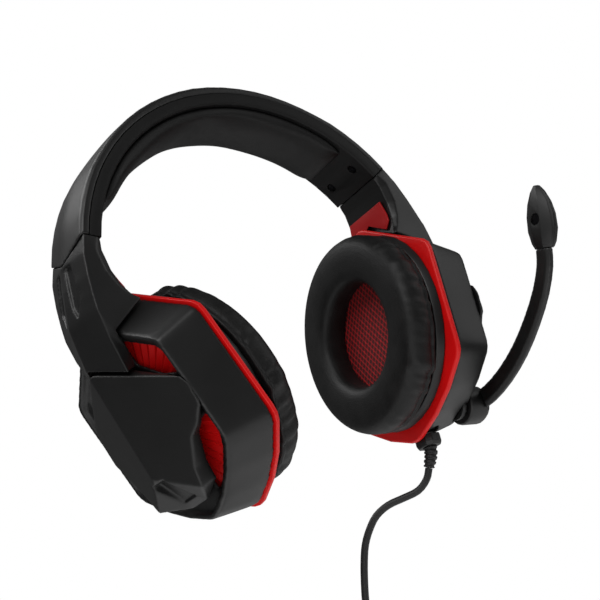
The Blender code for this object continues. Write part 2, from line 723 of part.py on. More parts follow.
def build_arm(side, sign, frame, black, red, steel):
    arm = add_piece(f"{side}_arm", loft(arm_rings(sign), fan=True), frame, black, 25.0)
    combine(arm, f"{side}_hinge_pocket", hinge_pocket(sign))
    knuckle = hinge_barrel(sign, HINGE_BARREL_RADIUS, HINGE_BARREL_HALF, HINGE_ROOF + 1.0)
    combine(arm, f"{side}_arm_knuckle", knuckle, "UNION")
    combine(arm, f"{side}_arm_pin_hole", pin_solid(sign, PIN_RADIUS + SEAT_GAP, HINGE_BARREL_HALF + 1.0))
    combine(arm, f"{side}_slider_pocket", slider_block(sign, SEAT_GAP))
    for place, hand in (("front", -1.0), ("back", 1.0)):
        combine(arm, f"{side}_{place}_arm_slot", arm_slot(sign, hand))
    add_piece(f"{side}_slider", slider_block(sign, 0.0), frame, steel)
    add_piece(f"{side}_arm_insert", arm_insert(sign), frame, red)


def pin_solid(sign, radius, half):
    centre = cup_point(sign, HINGE_DEPTH, 0.0, HINGE_HEIGHT)
    return turned([(-half, radius), (half, radius)], centre, (0.0, 1.0, 0.0), (0.0, 0.0, 1.0), 14)


# Ear cups


def outer_shell(sign):
    inside = SHELL_FACE - SHELL_WALL
    rings = [
        cup_ring(sign, inside, hexagon(shell_scale(inside), SHELL_WALL + 1.2)),
        cup_ring(sign, inside - 1.5, hexagon(shell_scale(inside - 1.5), SHELL_WALL)),
        cup_ring(sign, SHELL_FOOT, hexagon(1.0, SHELL_WALL)),
        cup_ring(sign, SHELL_FOOT, hexagon(1.0)),
        cup_ring(sign, SHELL_EDGE, hexagon(SHELL_EDGE_SCALE)),
        cup_ring(sign, SHELL_EDGE, hexagon(SHELL_EDGE_SCALE, SHELL_LIP)),
        cup_ring(sign, SHELL_FACE, hexagon(SHELL_EDGE_SCALE, SHELL_LIP + 1.0)),
    ]
    return loft(rings)


def windows():
    """The four openings in the shell's face, two in front and two behind."""
    for outline in (WINDOW_UPPER, WINDOW_LOWER):
        for mirror in (1.0, -1.0):
            yield [Vector((v * mirror, w)) for v, w in outline]


def window_cutter(sign, outline):
    depths = (SHELL_FACE - SHELL_WALL - CUT_PAST, SHELL_FACE + CUT_PAST)
    return loft([cup_ring(sign, depth, outline) for depth in depths])


def roof(back, up):
    """Height of the outer plate's slopes at a place, above the trim's plane."""
    return PLATE_RIDGE + PLATE_RIDGE_CLIMB * (PLATE_TOP - up) - PLATE_SLOPE * abs(back)


def outer_plate(sign, short):
    """The roof-shaped cover on the cup: two slopes, a ridge and a pointed lower end, hollow round a post."""
    halves = {-1.0: PLATE_FRONT, 1.0: PLATE_BACK}
    if short:
        halves = {hand: outline[:-2] + PLATE_SHORT_END for hand, outline in halves.items()}
    last = len(PLATE_FRONT) - 1
    rim_depth, post_depth = SHELL_EDGE + SEAT_GAP, SHELL_FACE + SEAT_GAP
    bm = bmesh.new()

    def vert(depth, back, up):
        return bm.verts.new(cup_point(sign, depth, back, up))

    loops = [{}, {}, {}, {}, {}, {}]
    for hand, outline in halves.items():
        for i, (v, w) in enumerate(outline):
            top = PLATE_END_HEIGHT if i == last else roof(v, w)
            shrink = 1.0 - PLATE_WALL / math.hypot(v, w)
            post = PLATE_POST_SCALE
            ceiling = max(rim_depth + 0.4, top - PLATE_WALL)
            loops[0][hand, i] = vert(top, hand * v, w)
            loops[1][hand, i] = vert(rim_depth, hand * v, w)
            loops[2][hand, i] = vert(rim_depth, hand * v * shrink, w * shrink)
            loops[3][hand, i] = vert(ceiling, hand * v * shrink, w * shrink)
            loops[4][hand, i] = vert(roof(v * post, w * post) - PLATE_WALL, hand * v * post, w * post)
            loops[5][hand, i] = vert(post_depth, hand * v * post, w * post)
    crest, peak = vert(roof(0.0, PLATE_TOP), 0.0, PLATE_TOP), vert(roof(0.0, PLATE_PEAK), 0.0, PLATE_PEAK)
    top = loops[0]
    for hand in halves:
        bm.faces.new([crest] + [top[hand, i] for i in range(last)] + [peak])
        bm.faces.new((peak, top[hand, last - 1], top[hand, last]))
        for high, deep in zip(loops, loops[1:]):
            for i in range(last):
                bm.faces.new((high[hand, i], high[hand, i + 1], deep[hand, i + 1], deep[hand, i]))
    bm.faces.new((peak, top[1.0, last], top[-1.0, last]))
    bm.faces.new((crest, top[1.0, 0], top[-1.0, 0]))
    for end in (0, last):
        for high, deep in zip(loops, loops[1:]):
            bm.faces.new((high[1.0, end], deep[1.0, end], deep[-1.0, end], high[-1.0, end]))
    foot = loops[5]
    bm.faces.new([foot[-1.0, i] for i in range(last + 1)] + [foot[1.0, i] for i in reversed(range(last + 1))])
    return bm


def plate_pit(sign):
    """The scoop in the plate's pointed lower end."""
    rings = []
    for lift in (-PLATE_PIT_DEPTH, PLATE_PIT_DEPTH * 2.0):
        ring = []
        top, end = PLATE_PIT_TOP, PLATE_PIT_END
        for back, up in ((-1.0, top), (1.0, top), (1.0, end), (-1.0, end)):
            share = (PLATE_PEAK - up) / (PLATE_PEAK - PLATE_FRONT[-1][1])
            face = roof(0.0, PLATE_PEAK) + (PLATE_END_HEIGHT - roof(0.0, PLATE_PEAK)) * share
            deep = lift if up == PLATE_PIT_TOP or lift > 0.0 else lift * 0.3
            ring.append(cup_point(sign, face + deep, back * PLATE_PIT_HALF, up))
        rings.append(ring)
    return loft(rings)


def grille(sign):
    """A dished ring with ribs that run outwards, seated under the shell's face."""
    under = SHELL_FACE - SHELL_WALL - SEAT_GAP
    count = 2 * GRILLE_RIBS
    shape = hexagon()
    rings = []
    for scale in (GRILLE_OUTER_SCALE, GRILLE_INNER_SCALE):
        outline = even_hexagon(count, scale, shape)
        high = under - (GRILLE_DISH if scale == GRILLE_OUTER_SCALE else 0.0)
        top = [high - (GRILLE_RIB_HEIGHT if i % 2 else 0.0) for i in range(count)]
        rings.append([cup_point(sign, top[i], p.x, p.y) for i, p in enumerate(outline)])
    base = under - GRILLE_DISH - GRILLE_RIB_HEIGHT - GRILLE_THICK
    for scale in (GRILLE_INNER_SCALE, GRILLE_OUTER_SCALE):
        outline = even_hexagon(count, scale, shape)
        rings.append([cup_point(sign, base, p.x, p.y) for p in outline])
    return loft(rings, wrap=True)


def even_hexagon(count, scale, shape):
    """Points at even angles on the cup's outline."""
    points = []
    for i in range(count):
        a = 2.0 * math.pi * (i + 0.5) / count
        way = Vector((math.cos(a), math.sin(a)))
        best = 0.0
        for p, q in zip(shape, shape[1:] + shape[:1]):
            edge = q - p
            denominator = way.x * edge.y - way.y * edge.x
            if abs(denominator) < 1e-9:
                continue
            reach = (p.x * edge.y - p.y * edge.x) / denominator
            share = (p.x * way.y - p.y * way.x) / denominator
            if reach > 0.0 and -1e-6 <= share <= 1.0 + 1e-6:
                best = max(best, reach)
        points.append(way * best * scale)
    return points


def trim_ring(sign):
    shape = dense(hexagon(1.0 + TRIM_OVERHANG / CUP_HALF_WIDTH))
    soft = dense(hexagon(1.0 + (TRIM_OVERHANG - TRIM_ROUND) / CUP_HALF_WIDTH))
    hole = oval(NECK_HALF_WIDTH + SEAT_GAP, NECK_HALF_HEIGHT + SEAT_GAP, shape)
    back = SHELL_FOOT - SEAT_GAP
    front = -TRIM_DEPTH
    steps = ((back, shape), (front + TRIM_ROUND, shape), (front, soft), (front, hole), (back, hole))
    return loft([cup_ring(sign, depth, outline) for depth, outline in steps], wrap=True)


def baffle(sign):
    """The cup's inner half: a flange inside the shell, a neck through the trim and a tapered rim in front."""
    flange = dense(hexagon(1.0, SHELL_WALL + SEAT_GAP + BAFFLE_PLAY))
    inner = SHELL_FOOT
    neck = oval(NECK_HALF_WIDTH, NECK_HALF_HEIGHT, flange)
    face = oval(BAFFLE_HALF_WIDTH, BAFFLE_HALF_HEIGHT, flange)
    lip = oval(BAFFLE_HALF_WIDTH - BAFFLE_RIM_TAPER, BAFFLE_HALF_HEIGHT - BAFFLE_RIM_TAPER, flange)
    bore = oval(DRIVER_RADIUS + SEAT_GAP, DRIVER_RADIUS + SEAT_GAP, flange)
    front = -TRIM_DEPTH - SEAT_GAP
    behind, rim = inner + BAFFLE_FLANGE, -BAFFLE_RIM_DEPTH
    steps = (
        (behind, flange), (inner, flange), (inner, neck), (front, neck),
        (front, face), (rim, lip), (rim, bore), (behind, bore),
    )
    return loft([cup_ring(sign, depth, outline) for depth, outline in steps], wrap=True)


def ear_cushion(sign):
    """An oval ring with a full crown, drawn in at its sewn base, round a tapered ear hole."""
    base, crown = CUSHION_BASE, CUSHION_BASE + CUSHION_THICK
    middle = 0.5
    land = CUSHION_LAND / (CUSHION_HALF_WIDTH - CUSHION_HOLE_HALF_WIDTH)
    section = [
        (0.06, 0.0), (0.93, 0.0), (0.965, 0.12), (1.0, 0.34), (0.99, 0.56), (0.93, 0.78), (0.8, 0.94),
        (middle + land, 1.0), (middle - land, 1.0), (0.2, 0.93), (0.07, 0.76), (0.0, 0.52), (0.01, 0.24),
    ]
    steps = 44
    rings = []
    for i in range(steps):
        a = 2.0 * math.pi * i / steps
        ring = []
        for across, high in section:
            half_width = CUSHION_HOLE_HALF_WIDTH + (CUSHION_HALF_WIDTH - CUSHION_HOLE_HALF_WIDTH) * across
            half_height = CUSHION_HOLE_HALF_HEIGHT + (CUSHION_HALF_HEIGHT - CUSHION_HOLE_HALF_HEIGHT) * across
            depth = -base - (crown - base) * high
            up = half_height * math.sin(a) - CUSHION_DROP
            ring.append(cup_point(sign, depth, half_width * math.cos(a), up))
        rings.append(ring)
    return loft(rings, wrap=True)


def speaker_cloth(sign):
    outline = even_oval(CUSHION_HOLE_HALF_WIDTH + CLOTH_LAP, CUSHION_HOLE_HALF_HEIGHT + CLOTH_LAP, 32)
    outline = [p - Vector((0.0, CUSHION_DROP)) for p in outline]
    near = -BAFFLE_RIM_DEPTH - SEAT_GAP
    return loft([cup_ring(sign, near, outline), cup_ring(sign, near - CLOTH_THICK, outline)])


def driver_frame(sign):
    seat = SHELL_FOOT + BAFFLE_FLANGE + SEAT_GAP
    r = DRIVER_RADIUS - SEAT_GAP
    behind, inside, hole = seat + DRIVER_FLANGE_THICK, r - DRIVER_WALL, MAGNET_RADIUS - DRIVER_LEDGE
    profile = [(DRIVER_FRONT, r), (seat, r), (seat, DRIVER_FLANGE_RADIUS), (behind, DRIVER_FLANGE_RADIUS)]
    profile += [(behind, hole), (DRIVER_FLOOR, hole), (DRIVER_FLOOR, inside), (DRIVER_FRONT, inside)]
    return cup_turned(sign, profile, 22, closed=False)


def driver_magnet(sign):
    seat = SHELL_FOOT + BAFFLE_FLANGE + 2.0 * SEAT_GAP + DRIVER_FLANGE_THICK
    end = seat + MAGNET_DEPTH
    r, edge = MAGNET_RADIUS, MAGNET_EDGE
    profile = [(seat, r - edge), (seat + edge, r), (end - edge, r), (end, r - edge)]
    return cup_turned(sign, profile, 24)


def diaphragm(sign):
    r = DIAPHRAGM_RADIUS
    deep = DRIVER_FLOOR - SEAT_GAP
    rise = deep - DIAPHRAGM_RISE
    profile = [(deep, r * 0.3), (deep, r), (deep - 0.5, r), (rise, r * 0.78), (deep - 0.9, r * 0.5)]
    profile += [(rise, r * 0.22), (rise - 0.2, r * 0.05)]
    return cup_turned(sign, profile, 20)


def hinge_bracket(sign):
    """Two lugs on a foot, screwed to the shell's face, that hold the pin."""
    inner = HINGE_BARREL_HALF + SEAT_GAP
    outer = inner + HINGE_LUG_THICK
    low = SHELL_FACE + SEAT_GAP
    floor = low + HINGE_BASE_THICK
    high = HINGE_DEPTH + HINGE_LUG_RISE
    section = [(outer, low), (outer, high), (inner, high), (inner, floor)]
    section = [(-outer, low)] + section + [(-inner, floor), (-inner, high), (-outer, high)]
    half = HINGE_LUG_HEIGHT / 2.0
    rings = [[cup_point(sign, d, v, HINGE_HEIGHT + w) for v, d in section] for w in (-half, half)]
    return loft(rings)


def build_cup(side, sign, frame, looks):
    shell = add_piece(f"{side}_outer_shell", outer_shell(sign), frame, looks["black"], 25.0)
    combine(shell, f"{side}_arm_clearance", loft(arm_rings(sign, SWING_GAP), fan=True))
    for i, outline in enumerate(windows()):
        combine(shell, f"{side}_window_{i + 1}", window_cutter(sign, outline))
    if side == "left":
        combine(shell, "cable_inlet", collar_block(SEAT_GAP))
        combine(shell, "mic_socket_seat", mic_socket_seat())
    plate = add_piece(f"{side}_outer_plate", outer_plate(sign, side == "left"), frame, looks["plate"], 12.0)
    if side == "right":
        combine(plate, "plate_pit", plate_pit(sign))
    add_piece(f"{side}_grille", grille(sign), frame, looks["red"])
    add_piece(f"{side}_trim_ring", trim_ring(sign), frame, looks["trim"], 25.0)
    add_piece(f"{side}_baffle", baffle(sign), frame, looks["black"], 30.0)
    add_piece(f"{side}_ear_cushion", ear_cushion(sign), frame, looks["leather"], 60.0)
    add_piece(f"{side}_speaker_cloth", speaker_cloth(sign), frame, looks["net"])
    add_piece(f"{side}_driver_frame", driver_frame(sign), frame, looks["black"])
    add_piece(f"{side}_driver_magnet", driver_magnet(sign), frame, looks["steel"])
    add_piece(f"{side}_diaphragm", diaphragm(sign), frame, looks["film"])
    bracket = add_piece(f"{side}_hinge_bracket", hinge_bracket(sign), frame, looks["black"])
    long_pin = HINGE_BARREL_HALF + SEAT_GAP + HINGE_LUG_THICK
    combine(bracket, f"{side}_bracket_pin_hole", pin_solid(sign, PIN_RADIUS + SEAT_GAP, long_pin + 1.0))
    add_piece(f"{side}_hinge_pin", pin_solid(sign, PIN_RADIUS, long_pin), frame, looks["steel"])


# Boom microphone, in the left cup's depth, back and up


def boom_route():
    """Middle of the boom as (depth, back, up), from the hub to the foot of the head."""
    hub = MIC_HUB_START + MIC_HUB_DEPTH * MIC_BOOM_SHARE
    return [(hub, -MIC_FRONT - ahead, MIC_LOW + above) for ahead, above in BOOM_WAY]


MIC_SOCKET_START = SHELL_FACE + SEAT_GAP
MIC_HUB_START = MIC_SOCKET_START + MIC_SOCKET_DEPTH + SEAT_GAP


def smooth_route(points, per_span):
    """Points on a smooth curve through hand-chosen points."""
    path = [Vector(p) for p in points]
    ends = [path[0] * 2.0 - path[1]] + path + [path[-1] * 2.0 - path[-2]]
    made = []
    for i in range(1, len(ends) - 2):
        a, b, c, d = ends[i - 1:i + 3]
        for k in range(per_span):
            t = k / per_span
            made.append(0.5 * (2.0 * b + (c - a) * t + (2.0 * a - 5.0 * b + 4.0 * c - d) * t * t
                               + (3.0 * b - a - 3.0 * c + d) * t * t * t))
    made.append(path[-1])
    return made


def mic_boom():
    route = smooth_route(boom_route(), 2)
    rings = []
    for i, p in enumerate(route):
        ahead = (route[min(i + 1, len(route) - 1)] - route[max(i - 1, 0)]).normalized()
        across = Vector((0.0, -ahead.z, ahead.y))
        share = i / (len(route) - 1)
        wide, thick = BOOM_HALF_WIDTH * (1.0 - 0.08 * share), BOOM_HALF_THICK * (1.0 - 0.1 * share)
        deep = Vector((thick, 0.0, 0.0))
        rings.append([cup_vector(p + across * (wide * a) + deep * b) for a, b in BOOM_SECTION])
    return loft(rings)


def cup_vector(p):
    return cup_point(1.0, p.x, p.y, p.z)


def mic_hub():
    r = MIC_HUB_RADIUS
    start, end = MIC_HUB_START, MIC_HUB_START + MIC_HUB_DEPTH
    bore, top = MIC_SCREW_RADIUS + SEAT_GAP, r - MIC_HUB_TAPER
    profile = [(start, bore), (start, r - MIC_EDGE), (start + MIC_EDGE, r), (end - 2.0 * MIC_HUB_TAPER, r)]
    profile += [(end - MIC_EDGE, top), (end, top - MIC_EDGE), (end, bore)]
    return cup_turned(1.0, profile, 20, closed=False, back=-MIC_FRONT, up=MIC_LOW)


def mic_socket():
    r = MIC_SOCKET_RADIUS
    start, end = MIC_SOCKET_START, MIC_SOCKET_START + MIC_SOCKET_DEPTH
    bore = MIC_SCREW_RADIUS + SEAT_GAP
    profile = [(start, r), (end - MIC_EDGE, r), (end, r - MIC_EDGE), (end, bore), (start, bore)]
    return cup_turned(1.0, profile, 18, closed=False, back=-MIC_FRONT, up=MIC_LOW)


def mic_socket_seat():
    """The round notch that the socket sits in, through the shell's lip."""
    r = MIC_SOCKET_RADIUS + SEAT_GAP
    depths = (SHELL_FACE - 0.1, SHELL_EDGE + SHELL_WALL)
    return cup_turned(1.0, [(depth, r) for depth in depths], 24, back=-MIC_FRONT, up=MIC_LOW)


def mic_pivot():
    r = MIC_SCREW_RADIUS
    end = MIC_HUB_START + MIC_HUB_DEPTH
    seat, top, head = end + 0.5, end + MIC_SCREW_HEAD, r + MIC_SCREW_HEAD
    profile = [(MIC_SOCKET_START, r), (seat, r), (seat, head), (top, head - 0.4)]
    profile += [(top, 0.8), (top - 0.6, 0.6)]
    return cup_turned(1.0, profile, 12, back=-MIC_FRONT, up=MIC_LOW)


def head_frame():
    """The microphone head's foot, its long direction and its direction across, in the left cup's frame."""
    before, foot = smooth_route(boom_route(), 2)[-2:]
    ahead = (foot - before).normalized()
    across = Vector((0.0, -ahead.z, ahead.y)).normalized()
    return foot, ahead, across


HEAD_STATIONS = [
    (0.3, 0.62, 0.70), (3.0, 0.80, 0.92), (9.0, 1.00, 1.00), (16.0, 0.98, 0.96),
    (22.0, 0.80, 0.84), (27.5, 0.48, 0.60), (30.5, 0.20, 0.30),
]


def head_half(depth_from, depth_to, taper):
    """Half of the microphone head between two depths: a pod with a leaning nose."""
    foot, ahead, across = head_frame()
    rings = []
    for along, wide, thick in HEAD_STATIONS:
        lean = -2.0 * (along / HEAD_STATIONS[-1][0]) ** 2
        half = MIC_HEAD_HALF_WIDTH * wide
        a, b = depth_from * thick, depth_to * thick
        t = taper * half
        side = a + (b - a) * MIC_HEAD_SIDE
        section = [(-half, a), (half, a), (half, side), (t, b), (-t, b), (-half, side)]
        rings.append([cup_vector(foot + ahead * along + across * (v + lean) + Vector((d, 0.0, 0.0)))
                      for v, d in section])
    return loft(rings)


def capsule_axis():
    foot, ahead, across = head_frame()
    return foot + ahead * CAPSULE_ALONG + across * -0.5


def capsule(radius, start, end, steps=14):
    p = capsule_axis()
    base = cup_vector(p)
    axis = cup_vector(p + Vector((1.0, 0.0, 0.0))) - base
    return turned([(start, radius), (end, radius)], base, axis, (0.0, 1.0, 0.0), steps)


def build_mic(cup, boom, looks):
    add_piece("mic_socket", mic_socket(), cup, looks["black"])
    add_piece("mic_pivot_screw", mic_pivot(), boom, looks["black"])
    add_piece("mic_hub", mic_hub(), boom, looks["black"])
    arm = add_piece("mic_boom", mic_boom(), boom, looks["black"], 25.0)
    seat = MIC_HUB_RADIUS + SEAT_GAP
    start, end = MIC_HUB_START - 2.0, MIC_HUB_START + MIC_HUB_DEPTH + 2.0
    root = cup_turned(1.0, [(start, seat), (end, seat)], 28, back=-MIC_FRONT, up=MIC_LOW)
    combine(arm, "boom_root_cut", root)
    half = MIC_HEAD_THICK / 2.0
    add_piece("mic_head_shell", head_half(SEAT_GAP / 2.0, half, 0.55), boom, looks["black"], 25.0)
    face = add_piece("mic_head_face", head_half(-SEAT_GAP / 2.0, -half, 0.4), boom, looks["plate"], 25.0)
    front = -half - 1.0
    sunk = front + CAPSULE_SINK
    combine(face, "capsule_bore", capsule(CAPSULE_RADIUS + SEAT_GAP, front, sunk + CAPSULE_DEPTH))
    disc = capsule(CAPSULE_RADIUS, sunk, sunk - SEAT_GAP + CAPSULE_DEPTH)
    add_piece("mic_capsule", disc, boom, looks["steel"])


# Cable


def collar_point(depth, back, up):
    return cup_point(1.0, COLLAR_DEPTH + depth, back, -CUP_TIP + up)


COLLAR_DEPTH = 6.5


def collar_block(grow):
    """The cable's collar in the shell's lowest corner, tapered downwards."""
    wide, deep = COLLAR_HALF_WIDTH + grow, COLLAR_HALF_DEPTH + grow
    rings = []
    top = COLLAR_SINK + (2.0 * COLLAR_SINK if grow else 0.0)
    for up, scale in ((top, 1.0), (-COLLAR_HEIGHT * 0.5, 1.0), (-COLLAR_HEIGHT, COLLAR_TAPER)):
        corners = [(-0.6, -1.0), (0.6, -1.0), (1.0, -0.5), (1.0, 0.5)]
        corners += [(-x, -y) for x, y in corners]
        rings.append([collar_point(deep * b * scale, wide * a * scale, up) for a, b in corners])
    return loft(rings)


BOOT_START_UP = -CUP_TIP - COLLAR_HEIGHT
CABLE_EXIT = cup_point(1.0, COLLAR_DEPTH, 0.0, BOOT_START_UP)
# Route of the cable from the collar's lower end, past the boot, to the coil
CABLE_WAY = [
    (-4.7, 2.0, -9.0), (-7.4, 4.1, -13.4), (-12.2, 7.8, -16.6), (-18.6, 12.8, -16.8),
    (-24.9, 17.7, -16.8), (-30.7, 22.2, -19.0), (-35.3, 25.8, -23.6), (-39.1, 28.8, -29.2),
    (-42.2, 31.2, -36.2), (-45.3, 33.6, -44.8), (-48.1, 35.8, -53.8), (-50.3, 37.6, -63.0),
    (-51.7, 38.6, -72.4), (-52.3, 39.0, -81.4), (-52.3, 39.0, -88.4),
]
CABLE_ROUTE = [CABLE_EXIT + Vector(p) for p in CABLE_WAY]


def boot_bend(share):
    """Middle line of the boot and its direction: square to the collar, then in line with the cable."""
    start = cup_point(1.0, COLLAR_DEPTH, 0.0, BOOT_START_UP - SEAT_GAP)
    down = (cup_point(1.0, 0.0, 0.0, -1.0) - cup_point(1.0, 0.0, 0.0, 0.0)) * BOOT_STIFF
    first, second = smooth_route(CABLE_ROUTE, 2)[:2]
    along = (second - first).normalized()
    end = first - along * SEAT_GAP
    a, b, c, d = start, start + down, end - along * BOOT_STIFF, end
    t, r = share, 1.0 - share
    place = a * r**3 + b * (3.0 * r * r * t) + c * (3.0 * r * t * t) + d * t**3
    way = (b - a) * (r * r) + (c - b) * (2.0 * r * t) + (d - c) * (t * t)
    return place, way.normalized()


def cable_boot():
    profile = [(0.0, BOOT_TOP_RADIUS)]
    for i in range(BOOT_RIBS):
        share = (i + 0.5) / BOOT_RIBS
        r = BOOT_TOP_RADIUS + (BOOT_END_RADIUS - BOOT_TOP_RADIUS) * share
        for offset, groove in ((-0.32, 0.0), (-0.16, BOOT_GROOVE), (0.12, BOOT_GROOVE), (0.28, 0.0)):
            profile.append((share + offset / BOOT_RIBS, r - groove))
    profile += [(0.97, BOOT_END_RADIUS), (1.0, BOOT_END_RADIUS - 0.4)]
    rings = []
    for share, radius in profile:
        place, way = boot_bend(share)
        first = way.cross(Vector((1.0, 0.0, 0.0))).normalized()
        second = way.cross(first)
        turn = [2.0 * math.pi * i / 10 for i in range(10)]
        rings.append([place + (first * math.cos(a) + second * math.sin(a)) * radius for a in turn])
    return loft(rings)


def add_tube(name, points, frame, material, sides):
    """A cord as a bevelled curve along points of the part's frame."""
    curve = bpy.data.curves.new(name, "CURVE")
    curve.dimensions = "3D"
    curve.bevel_depth = CABLE_RADIUS * MM
    curve.bevel_resolution = sides
    curve.use_fill_caps = True
    spline = curve.splines.new("POLY")
    spline.points.add(len(points) - 1)
    inverse = frame.matrix_world.inverted()
    for target, p in zip(spline.points, points):
        target.co = (*(inverse @ (Vector(p) * MM)), 1.0)
    curve.materials.append(material)
    piece = bpy.data.objects.new(name, curve)
    piece.parent = frame
    bpy.context.scene.collection.objects.link(piece)
    return piece


def coil_place():
    """Centre of the coil, which hangs with its axis along Y below the end of the free stretch."""
    end = Vector(CABLE_ROUTE[-1])
    drop = 2.0 * CABLE_RADIUS + SEAT_GAP
    return Vector((end.x - COIL_OUTER, end.y, end.z - drop))


def coil_points():
    """Turns that spiral in and out in layers, climbing a layer in the half turn where the spiral reverses."""
    centre = coil_place()
    total = COIL_TURNS * COIL_LAYERS
    points = []
    for i in range(int(total * LOOP_POINTS) + 1):
        turn = i / LOOP_POINTS
        layer = min(int(turn / COIL_TURNS), COIL_LAYERS - 1)
        within = turn - layer * COIL_TURNS
        inward = within if layer % 2 == 0 else COIL_TURNS - within
        radius = COIL_OUTER - COIL_PITCH * inward
        level = float(layer)
        for seam in range(1, COIL_LAYERS):
            gap = turn - seam * COIL_TURNS
            if abs(gap) < 0.25:
                share = (gap + 0.25) / 0.5
                level = seam - 1.0 + share * share * (3.0 - 2.0 * share)
        a = -2.0 * math.pi * turn
        points.append(centre + Vector((radius * math.cos(a), level * COIL_PITCH, radius * math.sin(a))))
    straight = 2.0 * CABLE_RADIUS
    first = points[0] + Vector((0.0, 0.0, straight))
    last = points[-1] - Vector((0.0, 0.0, straight))
    return [first] + points + [last]


def least_gap(points, diameter):
    """Least clear distance between turns of one tube, from its middle line."""
    least = 1e9
    apart = LOOP_POINTS // 2
    for i, p in enumerate(points):
        for q in points[i + apart:]:
            least = min(least, (p - q).length)
    return least - diameter


def coil_tie():
    """A band round all the turns, across the side away from the lead."""
    centre = coil_place()
    inner = COIL_OUTER - COIL_PITCH * COIL_TURNS - CABLE_RADIUS - 2.0 * SEAT_GAP
    outer = COIL_OUTER + CABLE_RADIUS + 2.0 * SEAT_GAP
    near = -CABLE_RADIUS - 2.0 * SEAT_GAP
    far = COIL_PITCH * (COIL_LAYERS - 1) + CABLE_RADIUS + 2.0 * SEAT_GAP
    half, t = TIE_WIDTH / 2.0, TIE_THICK
    sag = outer - math.sqrt(outer * outer - half * half)
    inner_x = inner - sag

    def frame_ring(z, grow):
        low, high = inner_x - grow, outer + grow
        corners = ((low, near - grow), (high, near - grow), (high, far + grow), (low, far + grow))
        return [centre + Vector((-x, y, z)) for x, y in corners]

    sides = ((-half, 0.0), (-half, t), (half, t), (half, 0.0))
    return loft([frame_ring(*side) for side in sides], wrap=True)


def plug_start():
    return coil_points()[-1]


def plug_body():
    start = plug_start()
    mid = SEAT_GAP + PLUG_BOOT_LENGTH
    end = mid + PLUG_LENGTH
    r, edge = PLUG_RADIUS, PLUG_EDGE
    profile = [(SEAT_GAP, CABLE_RADIUS + edge), (mid, CABLE_RADIUS + 1.5), (mid + 0.1, r - edge)]
    profile += [(mid + edge, r), (end - edge, r), (end, r - edge)]
    return turned(profile, start, (0.0, 0.0, -1.0), (1.0, 0.0, 0.0), 16)


def jack_pin():
    start = plug_start()
    base = 2.0 * SEAT_GAP + PLUG_BOOT_LENGTH + PLUG_LENGTH
    r = JACK_RADIUS
    end = base + JACK_LENGTH
    profile = [(base, r + 1.0), (base + 0.8, r + 1.0), (base + 0.8, r)]
    for at in (4.2, 7.2, 10.2):
        profile += [(base + at, r), (base + at + 0.3, r - 0.2), (base + at + 0.6, r)]
    profile += [(end - 3.0, r), (end - 2.4, r - 0.5), (end - 1.6, r - 0.1), (end - 0.3, r - 1.0)]
    return turned(profile, start, (0.0, 0.0, -1.0), (1.0, 0.0, 0.0), 10)


def build_cable(frame, looks):
    add_piece("cable_collar", collar_block(0.0), frame, looks["black"])
    add_piece("cable_boot", cable_boot(), frame, looks["rubber"])
    add_tube("cable_lead", smooth_route(CABLE_ROUTE, 2), frame, looks["rubber"], 2)
    turns = coil_points()
    add_tube("cable_coil", turns, frame, looks["rubber"], 1)
    print("least gap between turns of the coil, mm:", round(least_gap(turns, 2.0 * CABLE_RADIUS), 3))
    add_piece("coil_tie", coil_tie(), frame, looks["rubber"])
    add_piece("plug_body", plug_body(), frame, looks["black"])
    add_piece("jack_pin", jack_pin(), frame, looks["gold"])


def main():
    clear_scene()
    looks = {
        "black": finish("satin_black_plastic", "202022", 0.42),
        "plate": finish("matt_black_plastic", "1b1b1d", 0.5),
        "red": finish("deep_red_plastic", "8e1416", 0.4),
        "trim": finish("bright_red_plastic", "c01c1a", 0.35),
        "leather": finish("black_leatherette", "161617", 0.48),
        "net": finish("red_speaker_net", "5c1013", 0.85),
        "steel": finish("bright_steel", "a8a8ac", 0.3, 1.0),
        "film": finish("clear_film", "b8b2a4", 0.3),
        "rubber": finish("black_rubber", "141415", 0.6),
        "gold": finish("gold_plate", "c9a45c", 0.25, 1.0),
    }
    band = body_frame("headband_frame", (0.0, 0.0, 0.0))
    build_headband(band, looks["black"], looks["leather"], looks["steel"])
    for side, sign in SIDES.items():
        slide = body_frame(f"{side}_slide_axis", slide_axis(sign)[0])
        build_arm(side, sign, slide, looks["black"], looks["red"], looks["steel"])
        hinge = cup_point(sign, HINGE_DEPTH, 0.0, HINGE_HEIGHT)
        cup = body_frame(f"{side}_cup_hinge", hinge, sign * CUP_TILT)
        build_cup(side, sign, cup, looks)
        if side == "left":
            hub = cup_point(sign, MIC_HUB_START, -MIC_FRONT, MIC_LOW)
            boom = body_frame("mic_boom_axis", hub, sign * CUP_TILT)
            build_mic(cup, boom, looks)
            build_cable(cup, looks)


main()
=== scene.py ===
import json
import math

import bmesh
import bpy
import numpy as np
from mathutils import Matrix, Vector, kdtree, noise


